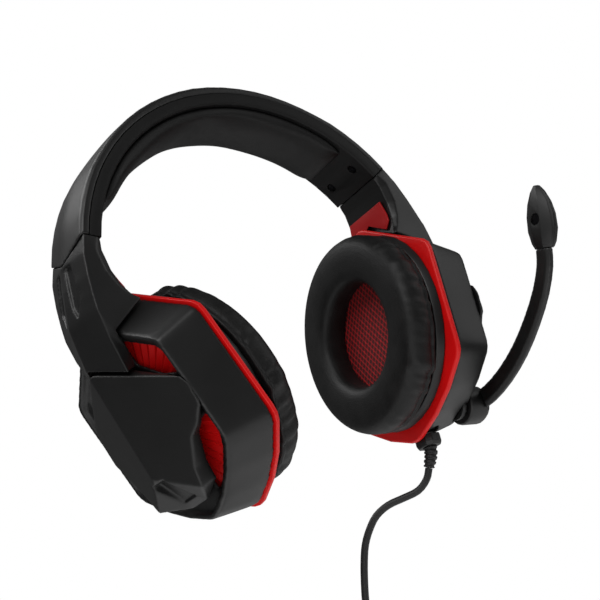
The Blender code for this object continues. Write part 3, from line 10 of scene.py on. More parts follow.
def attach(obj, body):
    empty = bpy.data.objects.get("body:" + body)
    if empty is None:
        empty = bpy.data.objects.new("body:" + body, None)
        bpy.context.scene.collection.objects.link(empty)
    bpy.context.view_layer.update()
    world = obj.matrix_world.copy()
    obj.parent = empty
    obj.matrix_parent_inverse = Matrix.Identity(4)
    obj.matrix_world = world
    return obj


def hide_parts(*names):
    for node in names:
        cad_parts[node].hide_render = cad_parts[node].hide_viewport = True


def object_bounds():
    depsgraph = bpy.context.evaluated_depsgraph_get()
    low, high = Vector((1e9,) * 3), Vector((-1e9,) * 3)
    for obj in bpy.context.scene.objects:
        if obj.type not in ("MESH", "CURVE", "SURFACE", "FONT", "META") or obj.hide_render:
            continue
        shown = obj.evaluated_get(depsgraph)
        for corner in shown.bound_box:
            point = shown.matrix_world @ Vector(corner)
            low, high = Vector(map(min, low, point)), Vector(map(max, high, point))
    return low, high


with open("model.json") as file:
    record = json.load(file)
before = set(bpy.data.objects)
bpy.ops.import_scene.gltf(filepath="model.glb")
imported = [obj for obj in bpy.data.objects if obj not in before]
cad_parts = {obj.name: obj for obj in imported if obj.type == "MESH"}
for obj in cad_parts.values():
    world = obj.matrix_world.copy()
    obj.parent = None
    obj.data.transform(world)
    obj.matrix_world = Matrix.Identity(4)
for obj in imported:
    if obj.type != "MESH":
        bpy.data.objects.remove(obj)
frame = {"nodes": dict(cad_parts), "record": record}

CAD_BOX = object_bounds()
MM = 0.001
NODES = frame["nodes"]
SIDES = {"left": 1.0, "right": -1.0}
SLOT_OF = {entry["node"]: entry["material_slot"] for entry in frame["record"]["subparts"]}
BODY_OF = {node: body for body, held in frame["record"]["behaviour"]["bodies"].items()
           for node in held}


# Shared modelling helpers


def in_scene(name, data):
    """A new object in the scene for a mesh, curve, lamp or camera."""
    made = bpy.data.objects.new(name, data)
    bpy.context.scene.collection.objects.link(made)
    return made


def add_object(name, bm, material, smooth=True):
    """A finished piece from a bmesh in the part's frame, in metres."""
    mesh = bpy.data.meshes.new(name)
    bm.to_mesh(mesh)
    bm.free()
    mesh.materials.append(material)
    if smooth:
        mesh.shade_smooth()
    return in_scene(name, mesh)


def place(piece, *nodes):
    """Lets a piece stand for CAD nodes: it rides on their body and the nodes are hidden."""
    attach(piece, BODY_OF[nodes[0]])
    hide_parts(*nodes)
    return piece


def baked(piece):
    """The mesh of an object with its modifiers applied."""
    return bpy.data.meshes.new_from_object(
        piece.evaluated_get(bpy.context.evaluated_depsgraph_get()))


def held_share(value):
    """A share held between 0 and 1."""
    return max(0.0, min(1.0, value))


CUP_MIDDLE = (62.508, 3.0, -122.296)
CUP_TILT = math.radians(13.3)


def cup_point(sign, depth, back, up):
    """A point of a tilted ear cup in metres, from millimetres out from the trim, back and up."""
    x = CUP_MIDDLE[0] + depth * math.cos(CUP_TILT) + up * math.sin(CUP_TILT)
    z = CUP_MIDDLE[2] + up * math.cos(CUP_TILT) - depth * math.sin(CUP_TILT)
    return Vector((sign * x, CUP_MIDDLE[1] + back, z)) * MM


# Camera, from the viewing angle solved on the headset's own edges

CAMERA_PLACE = Vector((-0.393355, -0.501581, -0.225658))
CAMERA_AZIMUTH = math.radians(-39.346)
CAMERA_HEIGHT = math.radians(-11.478)
CAMERA_ROLL = math.radians(-25.208)
CAMERA_LENS = 82.36


def camera():
    back = Vector((math.sin(CAMERA_AZIMUTH) * math.cos(CAMERA_HEIGHT),
                   -math.cos(CAMERA_AZIMUTH) * math.cos(CAMERA_HEIGHT), math.sin(CAMERA_HEIGHT)))
    level = Vector((0.0, 0.0, 1.0)).cross(back).normalized()
    over = back.cross(level)
    right = level * math.cos(CAMERA_ROLL) + over * math.sin(CAMERA_ROLL)
    up = over * math.cos(CAMERA_ROLL) - level * math.sin(CAMERA_ROLL)
    turn = Matrix((right, up, back)).transposed()
    data = bpy.data.cameras.new("photo_camera")
    data.lens = CAMERA_LENS
    data.clip_start = 0.01
    eye = in_scene("photo_camera", data)
    eye.matrix_world = Matrix.Translation(CAMERA_PLACE) @ turn.to_4x4()
    bpy.context.scene.camera = eye


camera()


# Materials

# A noise texture keeps nearly all its values between these
NOISE_LOW, NOISE_HIGH = 0.3, 0.7


def linear(colour):
    """An sRGB hex value as linear red, green and blue."""
    parts = [int(colour[i:i + 2], 16) / 255.0 for i in (0, 2, 4)]
    return [c / 12.92 if c <= 0.04045 else ((c + 0.055) / 1.055) ** 2.4 for c in parts]


def add_node(tree, kind, settings=None, inputs=None):
    """One node with its settings, and its inputs set to values or linked from sockets."""
    node = tree.nodes.new(kind)
    for key, value in (settings or {}).items():
        setattr(node, key, value)
    for key, value in (inputs or {}).items():
        if isinstance(value, bpy.types.NodeSocket):
            tree.links.new(value, node.inputs[key])
        else:
            node.inputs[key].default_value = value
    return node


def start_material(name):
    """A material with its node tree, its shader and the place on the piece in metres."""
    material = bpy.data.materials.new(name)
    material.use_nodes = True
    tree = material.node_tree
    where = add_node(tree, "ShaderNodeTexCoord").outputs["Object"]
    return material, tree, tree.nodes["Principled BSDF"], where


def two_tone(tree, factor, dark, light, low=0.0, high=1.0):
    """A colour ramp between two hex colours."""
    ramp = add_node(tree, "ShaderNodeValToRGB", inputs={"Fac": factor})
    for stop, place_on_ramp, colour in zip(ramp.color_ramp.elements, (low, high), (dark, light)):
        stop.position = place_on_ramp
        stop.color = (*linear(colour), 1.0)
    return ramp.outputs["Color"]


def per_mm(size):
    """A noise scale whose features are about that many millimetres across."""
    return 1.0 / (size * MM)


def moulded_plastic(name, dark, light, edge, roughness, grain_mm, grain_depth, shine=0.5):
    """Moulded ABS: spark-eroded grain that softens the shine, patches of sheen, raised edges
    painted paler, part rubbed wear and part painted highlight.

    The grain is drawn a few times coarser than the real one, so that it shows.
    """
    patch_mm, pale_edge_breakup_mm, wander = 22.0, 5.0, 0.02
    material, tree, shader, where = start_material(name)
    patches = add_node(tree, "ShaderNodeTexNoise", inputs={
        "Vector": where, "Scale": per_mm(patch_mm), "Detail": 2.0})
    grain = add_node(tree, "ShaderNodeTexNoise", inputs={
        "Vector": where, "Scale": per_mm(grain_mm), "Detail": 3.0})
    pale_edge_breakup = add_node(tree, "ShaderNodeTexNoise", inputs={
        "Vector": where, "Scale": per_mm(pale_edge_breakup_mm), "Detail": 4.0})
    # Raised edges are mixed towards the paler edge colour: part rubbed wear, part painted
    # highlight.
    wear_and_highlight = add_node(tree, "ShaderNodeAttribute", {"attribute_name": "wear_and_highlight"}).outputs["Fac"]
    pale_edge_share = add_node(tree, "ShaderNodeMath", {"operation": "MULTIPLY"}, {
        0: wear_and_highlight, 1: pale_edge_breakup.outputs["Fac"]})
    shade = two_tone(tree, patches.outputs["Fac"], dark, light, NOISE_LOW, NOISE_HIGH)
    mixed = add_node(tree, "ShaderNodeMix", {"data_type": "RGBA"}, {
        "Factor": pale_edge_share.outputs["Value"], 6: shade, 7: (*linear(edge), 1.0)})
    tree.links.new(mixed.outputs[2], shader.inputs["Base Color"])
    rough = add_node(tree, "ShaderNodeMapRange", inputs={
        "Value": patches.outputs["Fac"], "From Min": NOISE_LOW, "From Max": NOISE_HIGH,
        "To Min": roughness - wander, "To Max": roughness + wander})
    tree.links.new(rough.outputs["Result"], shader.inputs["Roughness"])
    bump = add_node(tree, "ShaderNodeBump", inputs={
        "Height": grain.outputs["Fac"], "Strength": 0.35, "Distance": grain_depth * MM})
    tree.links.new(bump.outputs["Normal"], shader.inputs["Normal"])
    shader.inputs["IOR"].default_value = 1.5
    shader.inputs["Specular IOR Level"].default_value = shine
    return material


def leatherette(name):
    """Polyurethane leatherette: pebbles about 1 mm across with creases between, a soft sheen."""
    pebble_mm, wear_mm, crease_depth = 1.1, 9.0, 0.12
    material, tree, shader, where = start_material(name)
    pebbles = add_node(tree, "ShaderNodeTexVoronoi", {"feature": "DISTANCE_TO_EDGE"}, {
        "Vector": where, "Scale": per_mm(pebble_mm), "Randomness": 1.0})
    creases = add_node(tree, "ShaderNodeMapRange", inputs={
        "Value": pebbles.outputs["Distance"], "From Min": 0.0, "From Max": 0.22})
    wear = add_node(tree, "ShaderNodeTexNoise", inputs={
        "Vector": where, "Scale": per_mm(wear_mm), "Detail": 4.0})
    shade = two_tone(tree, wear.outputs["Fac"], "0a0a0a", "101010", 0.35, 0.7)
    tree.links.new(shade, shader.inputs["Base Color"])
    rough = add_node(tree, "ShaderNodeMapRange", inputs={
        "Value": wear.outputs["Fac"], "From Min": NOISE_LOW, "From Max": NOISE_HIGH,
        "To Min": 0.46, "To Max": 0.56})
    tree.links.new(rough.outputs["Result"], shader.inputs["Roughness"])
    bump = add_node(tree, "ShaderNodeBump", inputs={
        "Height": creases.outputs["Result"], "Strength": 0.25, "Distance": crease_depth * MM})
    tree.links.new(bump.outputs["Normal"], shader.inputs["Normal"])
    shader.inputs["IOR"].default_value = 1.48
    shader.inputs["Specular IOR Level"].default_value = 0.36
    return material


def knitted_net(name):
    """Knitted polyester net: red threads over hollows painted dark as shade, fibrous fuzz and a
    faint sheen.
    """
    fuzz_mm, fuzz_depth = 0.5, 0.1
    material, tree, shader, where = start_material(name)
    thread = add_node(tree, "ShaderNodeAttribute", {"attribute_name": "thread"}).outputs["Fac"]
    fuzz = add_node(tree, "ShaderNodeTexNoise", inputs={
        "Vector": where, "Scale": per_mm(fuzz_mm), "Detail": 3.0})
    tone = add_node(tree, "ShaderNodeMath", {"operation": "MULTIPLY_ADD"}, {
        0: fuzz.outputs["Fac"], 1: 0.3, 2: thread})
    # The threads are the net's red; the hollows between them are painted dark red as shade.
    shade = two_tone(tree, tone.outputs["Value"], "3c0205", "be1015", 0.42)
    tree.links.new(shade, shader.inputs["Base Color"])
    bump = add_node(tree, "ShaderNodeBump", inputs={
        "Height": fuzz.outputs["Fac"], "Strength": 0.5, "Distance": fuzz_depth * MM})
    tree.links.new(bump.outputs["Normal"], shader.inputs["Normal"])
    shader.inputs["Roughness"].default_value = 0.7
    shader.inputs["Sheen Weight"].default_value = 0.06
    shader.inputs["Sheen Roughness"].default_value = 0.4
    return material


def turned_metal(name, colour, roughness, bright="f0f0f0"):
    """Turned and plated metal: fine tool marks and a little tarnish break up the shine."""
    mark_mm = 0.6
    material, tree, shader, where = start_material(name)
    marks = add_node(tree, "ShaderNodeTexNoise", inputs={
        "Vector": where, "Scale": per_mm(mark_mm), "Detail": 4.0})
    rough = add_node(tree, "ShaderNodeMapRange", inputs={
        "Value": marks.outputs["Fac"], "From Min": NOISE_LOW, "From Max": NOISE_HIGH,
        "To Min": roughness * 0.8, "To Max": roughness * 1.3})
    tree.links.new(rough.outputs["Result"], shader.inputs["Roughness"])
    shade = two_tone(tree, marks.outputs["Fac"], colour, bright, 0.35)
    tree.links.new(shade, shader.inputs["Base Color"])
    shader.inputs["Metallic"].default_value = 1.0
    return material


# Finishes by material slot. A plastic's colours are its two tones and its paler edges, part
# rubbed wear and part painted highlight, and then come roughness, grain in millimetres and the
# grain's depth in millimetres.
LOOKS = {
    "black_plastic": moulded_plastic(
        "satin_abs_moulded", "0c0c0c", "0f0f0f", "191919", 0.42, 0.5, 0.03),
    "plate_plastic": moulded_plastic(
        "matt_abs_moulded", "0b0b0b", "0d0d0d", "171717", 0.48, 0.45, 0.035),
    "red_plastic": moulded_plastic(
        "deep_red_abs_moulded", "a0080b", "aa0a0e", "bc2a2c", 0.45, 0.6, 0.02, shine=0.3),
    "trim_plastic": moulded_plastic(
        "bright_red_abs_moulded", "d20b0c", "da0d0e", "e42c2a", 0.38, 0.7, 0.015, shine=0.3),
    "leatherette": leatherette("black_leatherette_sewn"),
    "net": knitted_net("red_speaker_net_knitted"),
    "steel": turned_metal("zinc_plated_steel_turned", "8f9093", 0.32),
    "film": moulded_plastic("mylar_film_pressed", "b7b1a2", "c3bdae", "d6d1c4", 0.25, 0.8, 0.01),
    "rubber": moulded_plastic(
        "tpe_cable_jacket_extruded", "0b0b0c", "101011", "2e2e30", 0.52, 0.35, 0.03),
    "gold": turned_metal("gold_plated_brass_turned", "c79a4a", 0.22),
}
OXIDE = turned_metal("black_oxide_steel_turned", "141416", 0.45, "2a2a2d")
# The band's inner cover is painted darker than the satin black plastic, as shade under the band's
# outer rim.
SHADED_LINING = moulded_plastic(
    "dull_abs_lining_painted_shade", "090909", "0b0b0b", "161616", 0.6, 0.4, 0.04, shine=0.3)
OWN_LOOKS = {"mic_capsule": OXIDE, "headband_inner_cover": SHADED_LINING}
for hand in SIDES:
    OWN_LOOKS[f"{hand}_grille"] = LOOKS["trim_plastic"]
    for end in ("front", "back"):
        OWN_LOOKS[f"{hand}_{end}_band_screw"] = OXIDE


def look_of(node):
    """A node's own finish, or else that of its material slot."""
    return OWN_LOOKS.get(node, LOOKS[SLOT_OF[node]])


def dress_nodes():
    """Gives every CAD node its material."""
    for name, node in NODES.items():
        node.data.materials.clear()
        node.data.materials.append(look_of(name))


dress_nodes()


# Rigid pieces with rounded edges, from the solids

SAME_SPOT = 1e-6
SHARP_FROM, BEND_FROM = math.radians(24.0), math.radians(2.0)


def rounded(node, width, segments=2, swell=0.0):
    """A copy of a small solid with its edges rounded as a mould leaves them, raised edges marked to
    be painted paler, part wear and part painted highlight.

    A swell in millimetres closes a joint through which daylight would show.
    """
    sliver_mm, flat_within, creased_from = 0.3, math.radians(0.6), math.radians(32.0)
    bm = bmesh.new()
    bm.from_mesh(NODES[node].data)
    bmesh.ops.remove_doubles(bm, verts=bm.verts, dist=SAME_SPOT)
    bmesh.ops.dissolve_degenerate(bm, dist=sliver_mm * MM, edges=bm.edges)
    bmesh.ops.dissolve_limit(bm, angle_limit=flat_within, verts=bm.verts, edges=bm.edges)
    # Rounded edges are marked to be painted paler: part rubbed wear, part painted highlight.
    wear_and_highlight = bm.verts.layers.float.new("wear_and_highlight")
    sharp = [e for e in bm.edges if e.is_manifold and e.calc_face_angle(0.0) > SHARP_FROM]
    made = bmesh.ops.bevel(bm, geom=sharp, offset=width * MM, offset_type="OFFSET",
                           segments=segments, profile=0.5, affect="EDGES", clamp_overlap=True,
                           material=-1)
    turned = set(made["faces"])
    for vert in {v for face in turned for v in face.verts}:
        vert[wear_and_highlight] = float(turned.issuperset(vert.link_faces))
    bmesh.ops.recalc_face_normals(bm, faces=bm.faces)
    bm.normal_update()
    for vert in bm.verts:
        vert.co += vert.normal * swell * MM
    piece = add_object(node + "_moulding", bm, look_of(node))
    piece.data.set_sharp_from_angle(angle=creased_from)
    return place(piece, node)


def edge_samples(data):
    """Points every millimetre on a solid's gentle bends and sharp edges, as two search trees."""
    bm = bmesh.new()
    bm.from_mesh(data)
    bmesh.ops.remove_doubles(bm, verts=bm.verts, dist=SAME_SPOT)
    gentle, sharp = [], []
    for edge in bm.edges:
        turn = edge.calc_face_angle(0.0)
        if turn < BEND_FROM:
            continue
        a, b = (v.co for v in edge.verts)
        steps = max(1, int((b - a).length / MM))
        found = gentle if turn < SHARP_FROM else sharp
        found.extend(a.lerp(b, k / steps) for k in range(steps + 1))
    bm.free()
    trees = []
    for points in (gentle, sharp):
        tree = kdtree.KDTree(len(points))
        for i, point in enumerate(points):
            tree.insert(point, i)
        tree.balance()
        trees.append(tree)
    return trees


def bend_shares(mesh, gentle, sharp, reach):
    """How far each point is drawn into a curve: fully on a gentle bend, never on a sharp edge."""
    kept_mm, fade_mm = 0.8, 2.5
    shares = []
    for vert in mesh.vertices:
        near = gentle.find(vert.co)[2]
        if near is None or near > reach * MM:
            continue
        edge = sharp.find(vert.co)[2]
        clear = 1.0 if edge is None else held_share((edge / MM - kept_mm) / fade_mm)
        if clear > 0.0:
            shares.append((vert.index, clear * (1.0 - near / (reach * MM))))
    return shares


def softened(node, skin, passes, bend_reach=7.0, bend_passes=120):
    """A copy of a large solid with its edges rounded off as a polished mould leaves them.

    The skin is the width of a face in millimetres, and more passes give rounder edges. Bends
    within the bend's reach run together into a curve, and raised edges are marked to be painted
    paler, part rubbed wear and part painted highlight.
    """
    raw = in_scene(node + "_raw", NODES[node].data.copy())
    bends = edge_samples(raw.data)
    weld = raw.modifiers.new("weld", "WELD")
    weld.merge_threshold = SAME_SPOT
    remesh = raw.modifiers.new("skin", "REMESH")
    remesh.mode = "VOXEL"
    remesh.voxel_size = skin * MM
    mesh = baked(raw)
    raw.modifiers.clear()
    raw.data = mesh
    curved = raw.vertex_groups.new(name="curved")
    for index, share in bend_shares(mesh, *bends, bend_reach):
        curved.add([index], share, "REPLACE")
    for name, count, group in (("polish", passes, ""), ("curve", bend_passes, "curved")):
        smooth = raw.modifiers.new(name, "SMOOTH")
        smooth.factor = 0.5
        smooth.iterations = count
        smooth.vertex_group = group
    mesh = baked(raw)
    bpy.data.objects.remove(raw)
    mark_raised(mesh, skin)
    mesh.name = node + "_moulding"
    mesh.materials.clear()
    mesh.materials.append(look_of(node))
    mesh.shade_smooth()
    return place(in_scene(node + "_moulding", mesh), node)


def mark_raised(mesh, skin):
    """Writes how far each point stands above its neighbours, to paint raised edges paler, part
    rubbed wear and part painted highlight.
    """
    pale_edge_from, pale_edge_over = 0.03, 0.1
    count = len(mesh.vertices)
    spots, normals = np.empty(count * 3), np.empty(count * 3)
    mesh.vertices.foreach_get("co", spots)
    mesh.vertices.foreach_get("normal", normals)
    spots, normals = spots.reshape(-1, 3), normals.reshape(-1, 3)
    pairs = np.empty(len(mesh.edges) * 2, dtype=np.int32)
    mesh.edges.foreach_get("vertices", pairs)
    pairs = pairs.reshape(-1, 2)
    around, ties = np.zeros((count, 3)), np.zeros(count)
    for near, far in ((0, 1), (1, 0)):
        np.add.at(around, pairs[:, near], spots[pairs[:, far]])
        np.add.at(ties, pairs[:, near], 1.0)
    hump = np.sum((spots - around / ties[:, None]) * normals, axis=1) / (skin * MM)
    # How far a point is painted paler: part rubbed wear, part painted highlight.
    wear_and_highlight = np.clip((hump - pale_edge_from) / pale_edge_over, 0.0, 1.0)
    mesh.attributes.new("wear_and_highlight", "FLOAT", "POINT").data.foreach_set("value", wear_and_highlight)


def mouldings():
    """The rigid pieces in sight: large ones softened, small ones with rounded edges."""
    for hand in SIDES:
        softened(f"{hand}_outer_shell", skin=0.65, passes=36)
        softened(f"{hand}_outer_plate", skin=0.5, passes=24)
        softened(f"{hand}_arm", skin=0.4, passes=16)
        rounded(f"{hand}_arm_insert", width=0.4)
        rounded(f"{hand}_trim_ring", width=0.5, segments=3)
        rounded(f"{hand}_baffle", width=0.6)
        rounded(f"{hand}_grille", width=0.2)
    softened("headband_outer_cover", skin=0.55, passes=7, bend_reach=14.0, bend_passes=420)
    rounded("headband_inner_cover", width=0.15, swell=0.14)
    softened("mic_boom", skin=0.4, passes=5)
    softened("mic_head_shell", skin=0.35, passes=5)
    rounded("mic_head_face", width=0.5, segments=3)
    softened("cable_collar", skin=0.3, passes=5)
    rounded("cable_boot", width=0.25)
    for node in ("mic_hub", "mic_socket", "mic_pivot_screw"):
        rounded(node, width=0.3)


# Cable: the same route as the solids, in millimetres of the part's frame

CABLE_RADIUS = 1.8
COIL_TURNS, COIL_LAYERS, COIL_PITCH, COIL_OUTER = 3.25, 4, 4.15, 28.2
TURN_POINTS, CLIMB_HALF = 24, 0.25
SEAT_GAP = 0.3
CABLE_WAY = [
    (-4.7, 2.0, -9.0), (-7.4, 4.1, -13.4), (-12.2, 7.8, -16.6), (-18.6, 12.8, -16.8),
    (-24.9, 17.7, -16.8), (-30.7, 22.2, -19.0), (-35.3, 25.8, -23.6), (-39.1, 28.8, -29.2),
    (-42.2, 31.2, -36.2), (-45.3, 33.6, -44.8), (-48.1, 35.8, -53.8), (-50.3, 37.6, -63.0),
    (-51.7, 38.6, -72.4), (-52.3, 39.0, -81.4), (-52.3, 39.0, -88.4),
]
CABLE_EXIT = cup_point(SIDES["left"], 6.5, 0.0, -60.4) / MM
CABLE_ROUTE = [CABLE_EXIT + Vector(step) for step in CABLE_WAY]


def smooth_route(points, per_span):
    """Points on a smooth curve through given points."""
    path = [Vector(p) for p in points]
    ends = [path[0] * 2.0 - path[1]] + path + [path[-1] * 2.0 - path[-2]]
    made = []
    for i in range(1, len(ends) - 2):
        a, b, c, d = ends[i - 1:i + 3]
        for k in range(per_span):
            t = k / per_span
            made.append(0.5 * (2.0 * b + (c - a) * t + (2.0 * a - 5.0 * b + 4.0 * c - d) * t * t
                               + (3.0 * b - a - 3.0 * c + d) * t * t * t))
    made.append(path[-1])
    return made


def coil_points():
    """Turns that spiral in and out in layers, climbing a layer where the spiral reverses."""
    end = Vector(CABLE_ROUTE[-1])
    centre = Vector((end.x - COIL_OUTER, end.y, end.z - 2.0 * CABLE_RADIUS - SEAT_GAP))
    points = []
    for i in range(int(COIL_TURNS * COIL_LAYERS * TURN_POINTS) + 1):
        turn = i / TURN_POINTS
        layer = min(int(turn / COIL_TURNS), COIL_LAYERS - 1)
        within = turn - layer * COIL_TURNS
        inward = within if layer % 2 == 0 else COIL_TURNS - within
        radius = COIL_OUTER - COIL_PITCH * inward
        level = float(layer)
        for seam in range(1, COIL_LAYERS):
            gap = turn - seam * COIL_TURNS
            if abs(gap) < CLIMB_HALF:
                share = (gap + CLIMB_HALF) / (2.0 * CLIMB_HALF)
                level = seam - 1.0 + share * share * (3.0 - 2.0 * share)
        a = -2.0 * math.pi * turn
        points.append(centre + Vector(
            (radius * math.cos(a), level * COIL_PITCH, radius * math.sin(a))))
    return points + [points[-1] - Vector((0.0, 0.0, 2.0 * CABLE_RADIUS))]


def cable():
    """The cable from the boot to the tied coil, with its plug, pin and tie."""
    points = [p * MM for p in smooth_route(CABLE_ROUTE, 3) + coil_points()]
    curve = bpy.data.curves.new("cable", "CURVE")
    curve.dimensions = "3D"
    curve.bevel_depth = CABLE_RADIUS * MM
    curve.bevel_resolution = 4
    curve.use_fill_caps = True
    spline = curve.splines.new("POLY")
    spline.points.add(len(points) - 1)
    for target, p in zip(spline.points, points):
        target.co = (*p, 1.0)
    curve.materials.append(LOOKS["rubber"])
    piece = place(in_scene("cable", curve), "cable_lead", "cable_coil")
    ends = [rounded("plug_body", width=0.3), NODES["jack_pin"], rounded("coil_tie", width=0.3)]


cable()
mouldings()


# Padded pieces: sewn covers blown up by cloth simulation, then gathered along their seams

CLOTH_STEPS = 20
CLOTH = {
    "quality": 6, "mass": 0.3, "tension_stiffness": 12.0, "compression_stiffness": 12.0,
    "bending_stiffness": 0.4, "use_pressure": True, "uniform_pressure_force": 4.0,
    "vertex_group_mass": "sewn",
}


def inflate(name, bm, sewn, swell):
    """Swells a cover over its foam by up to so many millimetres, with its sewn edges held."""
    mesh = bpy.data.meshes.new(name)
    bm.to_mesh(mesh)
    bm.free()
    cover = in_scene(name, mesh)
    held = cover.vertex_groups.new(name="sewn")
    held.add([v.index for v in mesh.vertices if sewn(v.co)], 1.0, "REPLACE")
    rest = np.array([v.co for v in mesh.vertices])
    places = rest
    cloth = cover.modifiers.new("cloth", "CLOTH")
    for key, value in CLOTH.items():
        setattr(cloth.settings, key, value)
    cloth.settings.effector_weights.gravity = 0.0
    cloth.point_cache.frame_end = CLOTH_STEPS
    scene = bpy.context.scene
    for step in range(1, CLOTH_STEPS + 1):
        scene.frame_set(step)
    swollen = cover.evaluated_get(bpy.context.evaluated_depsgraph_get())
    places = np.array([v.co for v in swollen.data.vertices])
    scene.frame_set(1)
    moved = places - rest
    length = np.linalg.norm(moved, axis=1, keepdims=True)
    places = rest + moved * np.minimum(1.0, swell * MM / np.maximum(length, 1e-9))
    bm = bmesh.new()
    bm.from_mesh(mesh)
    for vert, co in zip(bm.verts, places):
        vert.co = co
    bpy.data.objects.remove(cover)
    bpy.data.meshes.remove(mesh)
    return bm


def pad_object(node, bm):
    """A finished padded piece in the place of its node."""
    bmesh.ops.recalc_face_normals(bm, faces=bm.faces)
    piece = add_object(node + "_cover", bm, LOOKS["leatherette"])
    smooth = piece.modifiers.new("soft", "SUBSURF")
    smooth.levels = smooth.render_levels = 1
    place(piece, node)


def closed_loop(bm, points):
    """A loop of edges through points, to spin or sweep."""
    verts = [bm.verts.new(p) for p in points]
    edges = [bm.edges.new((verts[i - 1], verts[i])) for i in range(len(verts))]
    return verts + edges


# Section of an ear cushion: (share from hole to rim, share of the height), sewn at the base
CUSHION_SECTION = [
    (0.07, 0.0), (0.92, 0.0), (0.96, 0.13), (0.99, 0.34), (0.98, 0.56), (0.92, 0.76), (0.8, 0.91),
    (0.6, 0.975), (0.4, 0.98), (0.2, 0.94), (0.07, 0.82), (0.01, 0.58), (0.01, 0.24),
]
CUSHION_BASE, CUSHION_THICK = 7.4, 15.6
CUSHION_HOLE, CUSHION_RIM = (24.8, 25.8), (45.9, 50.0)
CUSHION_SPAN = [rim - hole for hole, rim in zip(CUSHION_HOLE, CUSHION_RIM)]
CUSHION_SEWN, CUSHION_SWELL, CUSHION_STEPS = 0.6, 2.0, 112
CUSHION_DROP = {"left": 0.2, "right": 2.0}
GATHER_DEPTH = {"left": 1.3, "right": 2.2}
GATHER_SEED = {"left": 1.3, "right": 5.0}


def cushion_share(spot):
    """A place on the spun ring: angle round the ear, share from hole to rim, share of height."""
    across = (math.hypot(spot.x, spot.y) / MM - CUSHION_HOLE[0]) / CUSHION_SPAN[0]
    return math.atan2(spot.y, spot.x), across, spot.z / MM / CUSHION_THICK


def gather(spot, seed, depth):
    """Puckers of the cover along its outer seam, mostly at the front, and some round the hole.

    Bunches decide where the puckers are deep, and folds are the puckers themselves.
    """
    bunch_scale, fold_scale, fold_slant = 2.1, 7.0, 0.06
    angle, across, high = cushion_share(spot)
    ring = Vector((math.cos(angle), math.sin(angle), seed))
    front = max(0.0, -math.cos(angle))
    bunch = 0.35 + max(0.0, 1.4 * noise.noise(ring * bunch_scale) + 0.25)
    bunch *= 0.1 + 0.9 * math.sqrt(front)
    slant = Matrix.Rotation(fold_slant * high, 3, "Z") @ ring
    fold = 2.4 * abs(noise.noise(slant * fold_scale)) - 0.45
    outer = held_share((across - 0.72) / 0.2) * held_share((0.95 - high) / 0.4)
    inner = held_share((0.3 - across) / 0.2) * max(0.0, 1.0 - high) * 0.5
    return fold * bunch * (outer + inner) * depth * MM


def ear_cushion(hand, sign):
    """A stuffed ring spun round the ear, gathered, then drawn out to an oval on its tilted cup."""
    bm = bmesh.new()
    outline = [(across, 0.0, high) for across, high in CUSHION_SECTION + CUSHION_SECTION[:1]]
    loop = [((CUSHION_HOLE[0] + CUSHION_SPAN[0] * p.x) * MM, 0.0,
             max(0.0, p.z) * CUSHION_THICK * MM) for p in smooth_route(outline, 2)[:-1]]
    bmesh.ops.spin(bm, geom=closed_loop(bm, loop), cent=(0, 0, 0), axis=(0, 0, 1), angle=math.tau,
                   steps=CUSHION_STEPS, use_merge=True)
    bmesh.ops.recalc_face_normals(bm, faces=bm.faces)
    bm = inflate(f"{hand}_cushion_cover", bm, lambda co: co.z < CUSHION_SEWN * MM, CUSHION_SWELL)
    bmesh.ops.subdivide_edges(bm, edges=bm.edges, cuts=1, use_grid_fill=True, smooth=1.0)
    bm.normal_update()
    moves = [(vert, vert.normal * gather(vert.co, GATHER_SEED[hand], GATHER_DEPTH[hand]))
             for vert in bm.verts]
    for vert, move in moves:
        vert.co += move
        vert.co.z = max(vert.co.z, 0.0)
    for vert in bm.verts:
        angle, across, high = cushion_share(vert.co)
        back = (CUSHION_HOLE[0] + CUSHION_SPAN[0] * across) * math.cos(angle)
        up = (CUSHION_HOLE[1] + CUSHION_SPAN[1] * across) * math.sin(angle)
        vert.co = cup_point(sign, -CUSHION_BASE - CUSHION_THICK * high, back,
                            up - CUSHION_DROP[hand])
    pad_object(f"{hand}_ear_cushion", bm)


# Head pad: lengths in millimetres, angles in degrees from the crown
HEAD_RADIUS = 82.0
PAD_THICK, PAD_WELT, PAD_HALF_WIDTH, PAD_BASE_SHARE = 7.0, 2.2, 16.8, 0.93
PAD_HALF_ANGLE, PAD_END_ANGLE = 53.5, 6.0
PAD_END_TAPER, PAD_END_SINK, PAD_END_NARROW = 0.18, 0.8, 0.12
PAD_SEWN, PAD_SWELL, PAD_STEPS, PAD_SMOOTHING = 0.4, 1.2, 58, 6


def pad_section():
    """The pad's section as (across, down): a flat base, then a full round over the foam."""
    last, turns = 9, 20
    points = [(PAD_HALF_WIDTH * (PAD_BASE_SHARE - 2.0 * PAD_BASE_SHARE * i / last), 0.0)
              for i in range(last + 1)]
    for i in range(1, turns):
        a = math.pi * (1.0 - i / turns)
        across = math.copysign(abs(math.cos(a)) ** 0.85, math.cos(a))
        down = PAD_WELT + (PAD_THICK - PAD_WELT) * math.sin(a) ** 0.72
        points.append((PAD_HALF_WIDTH * across, down))
    return points


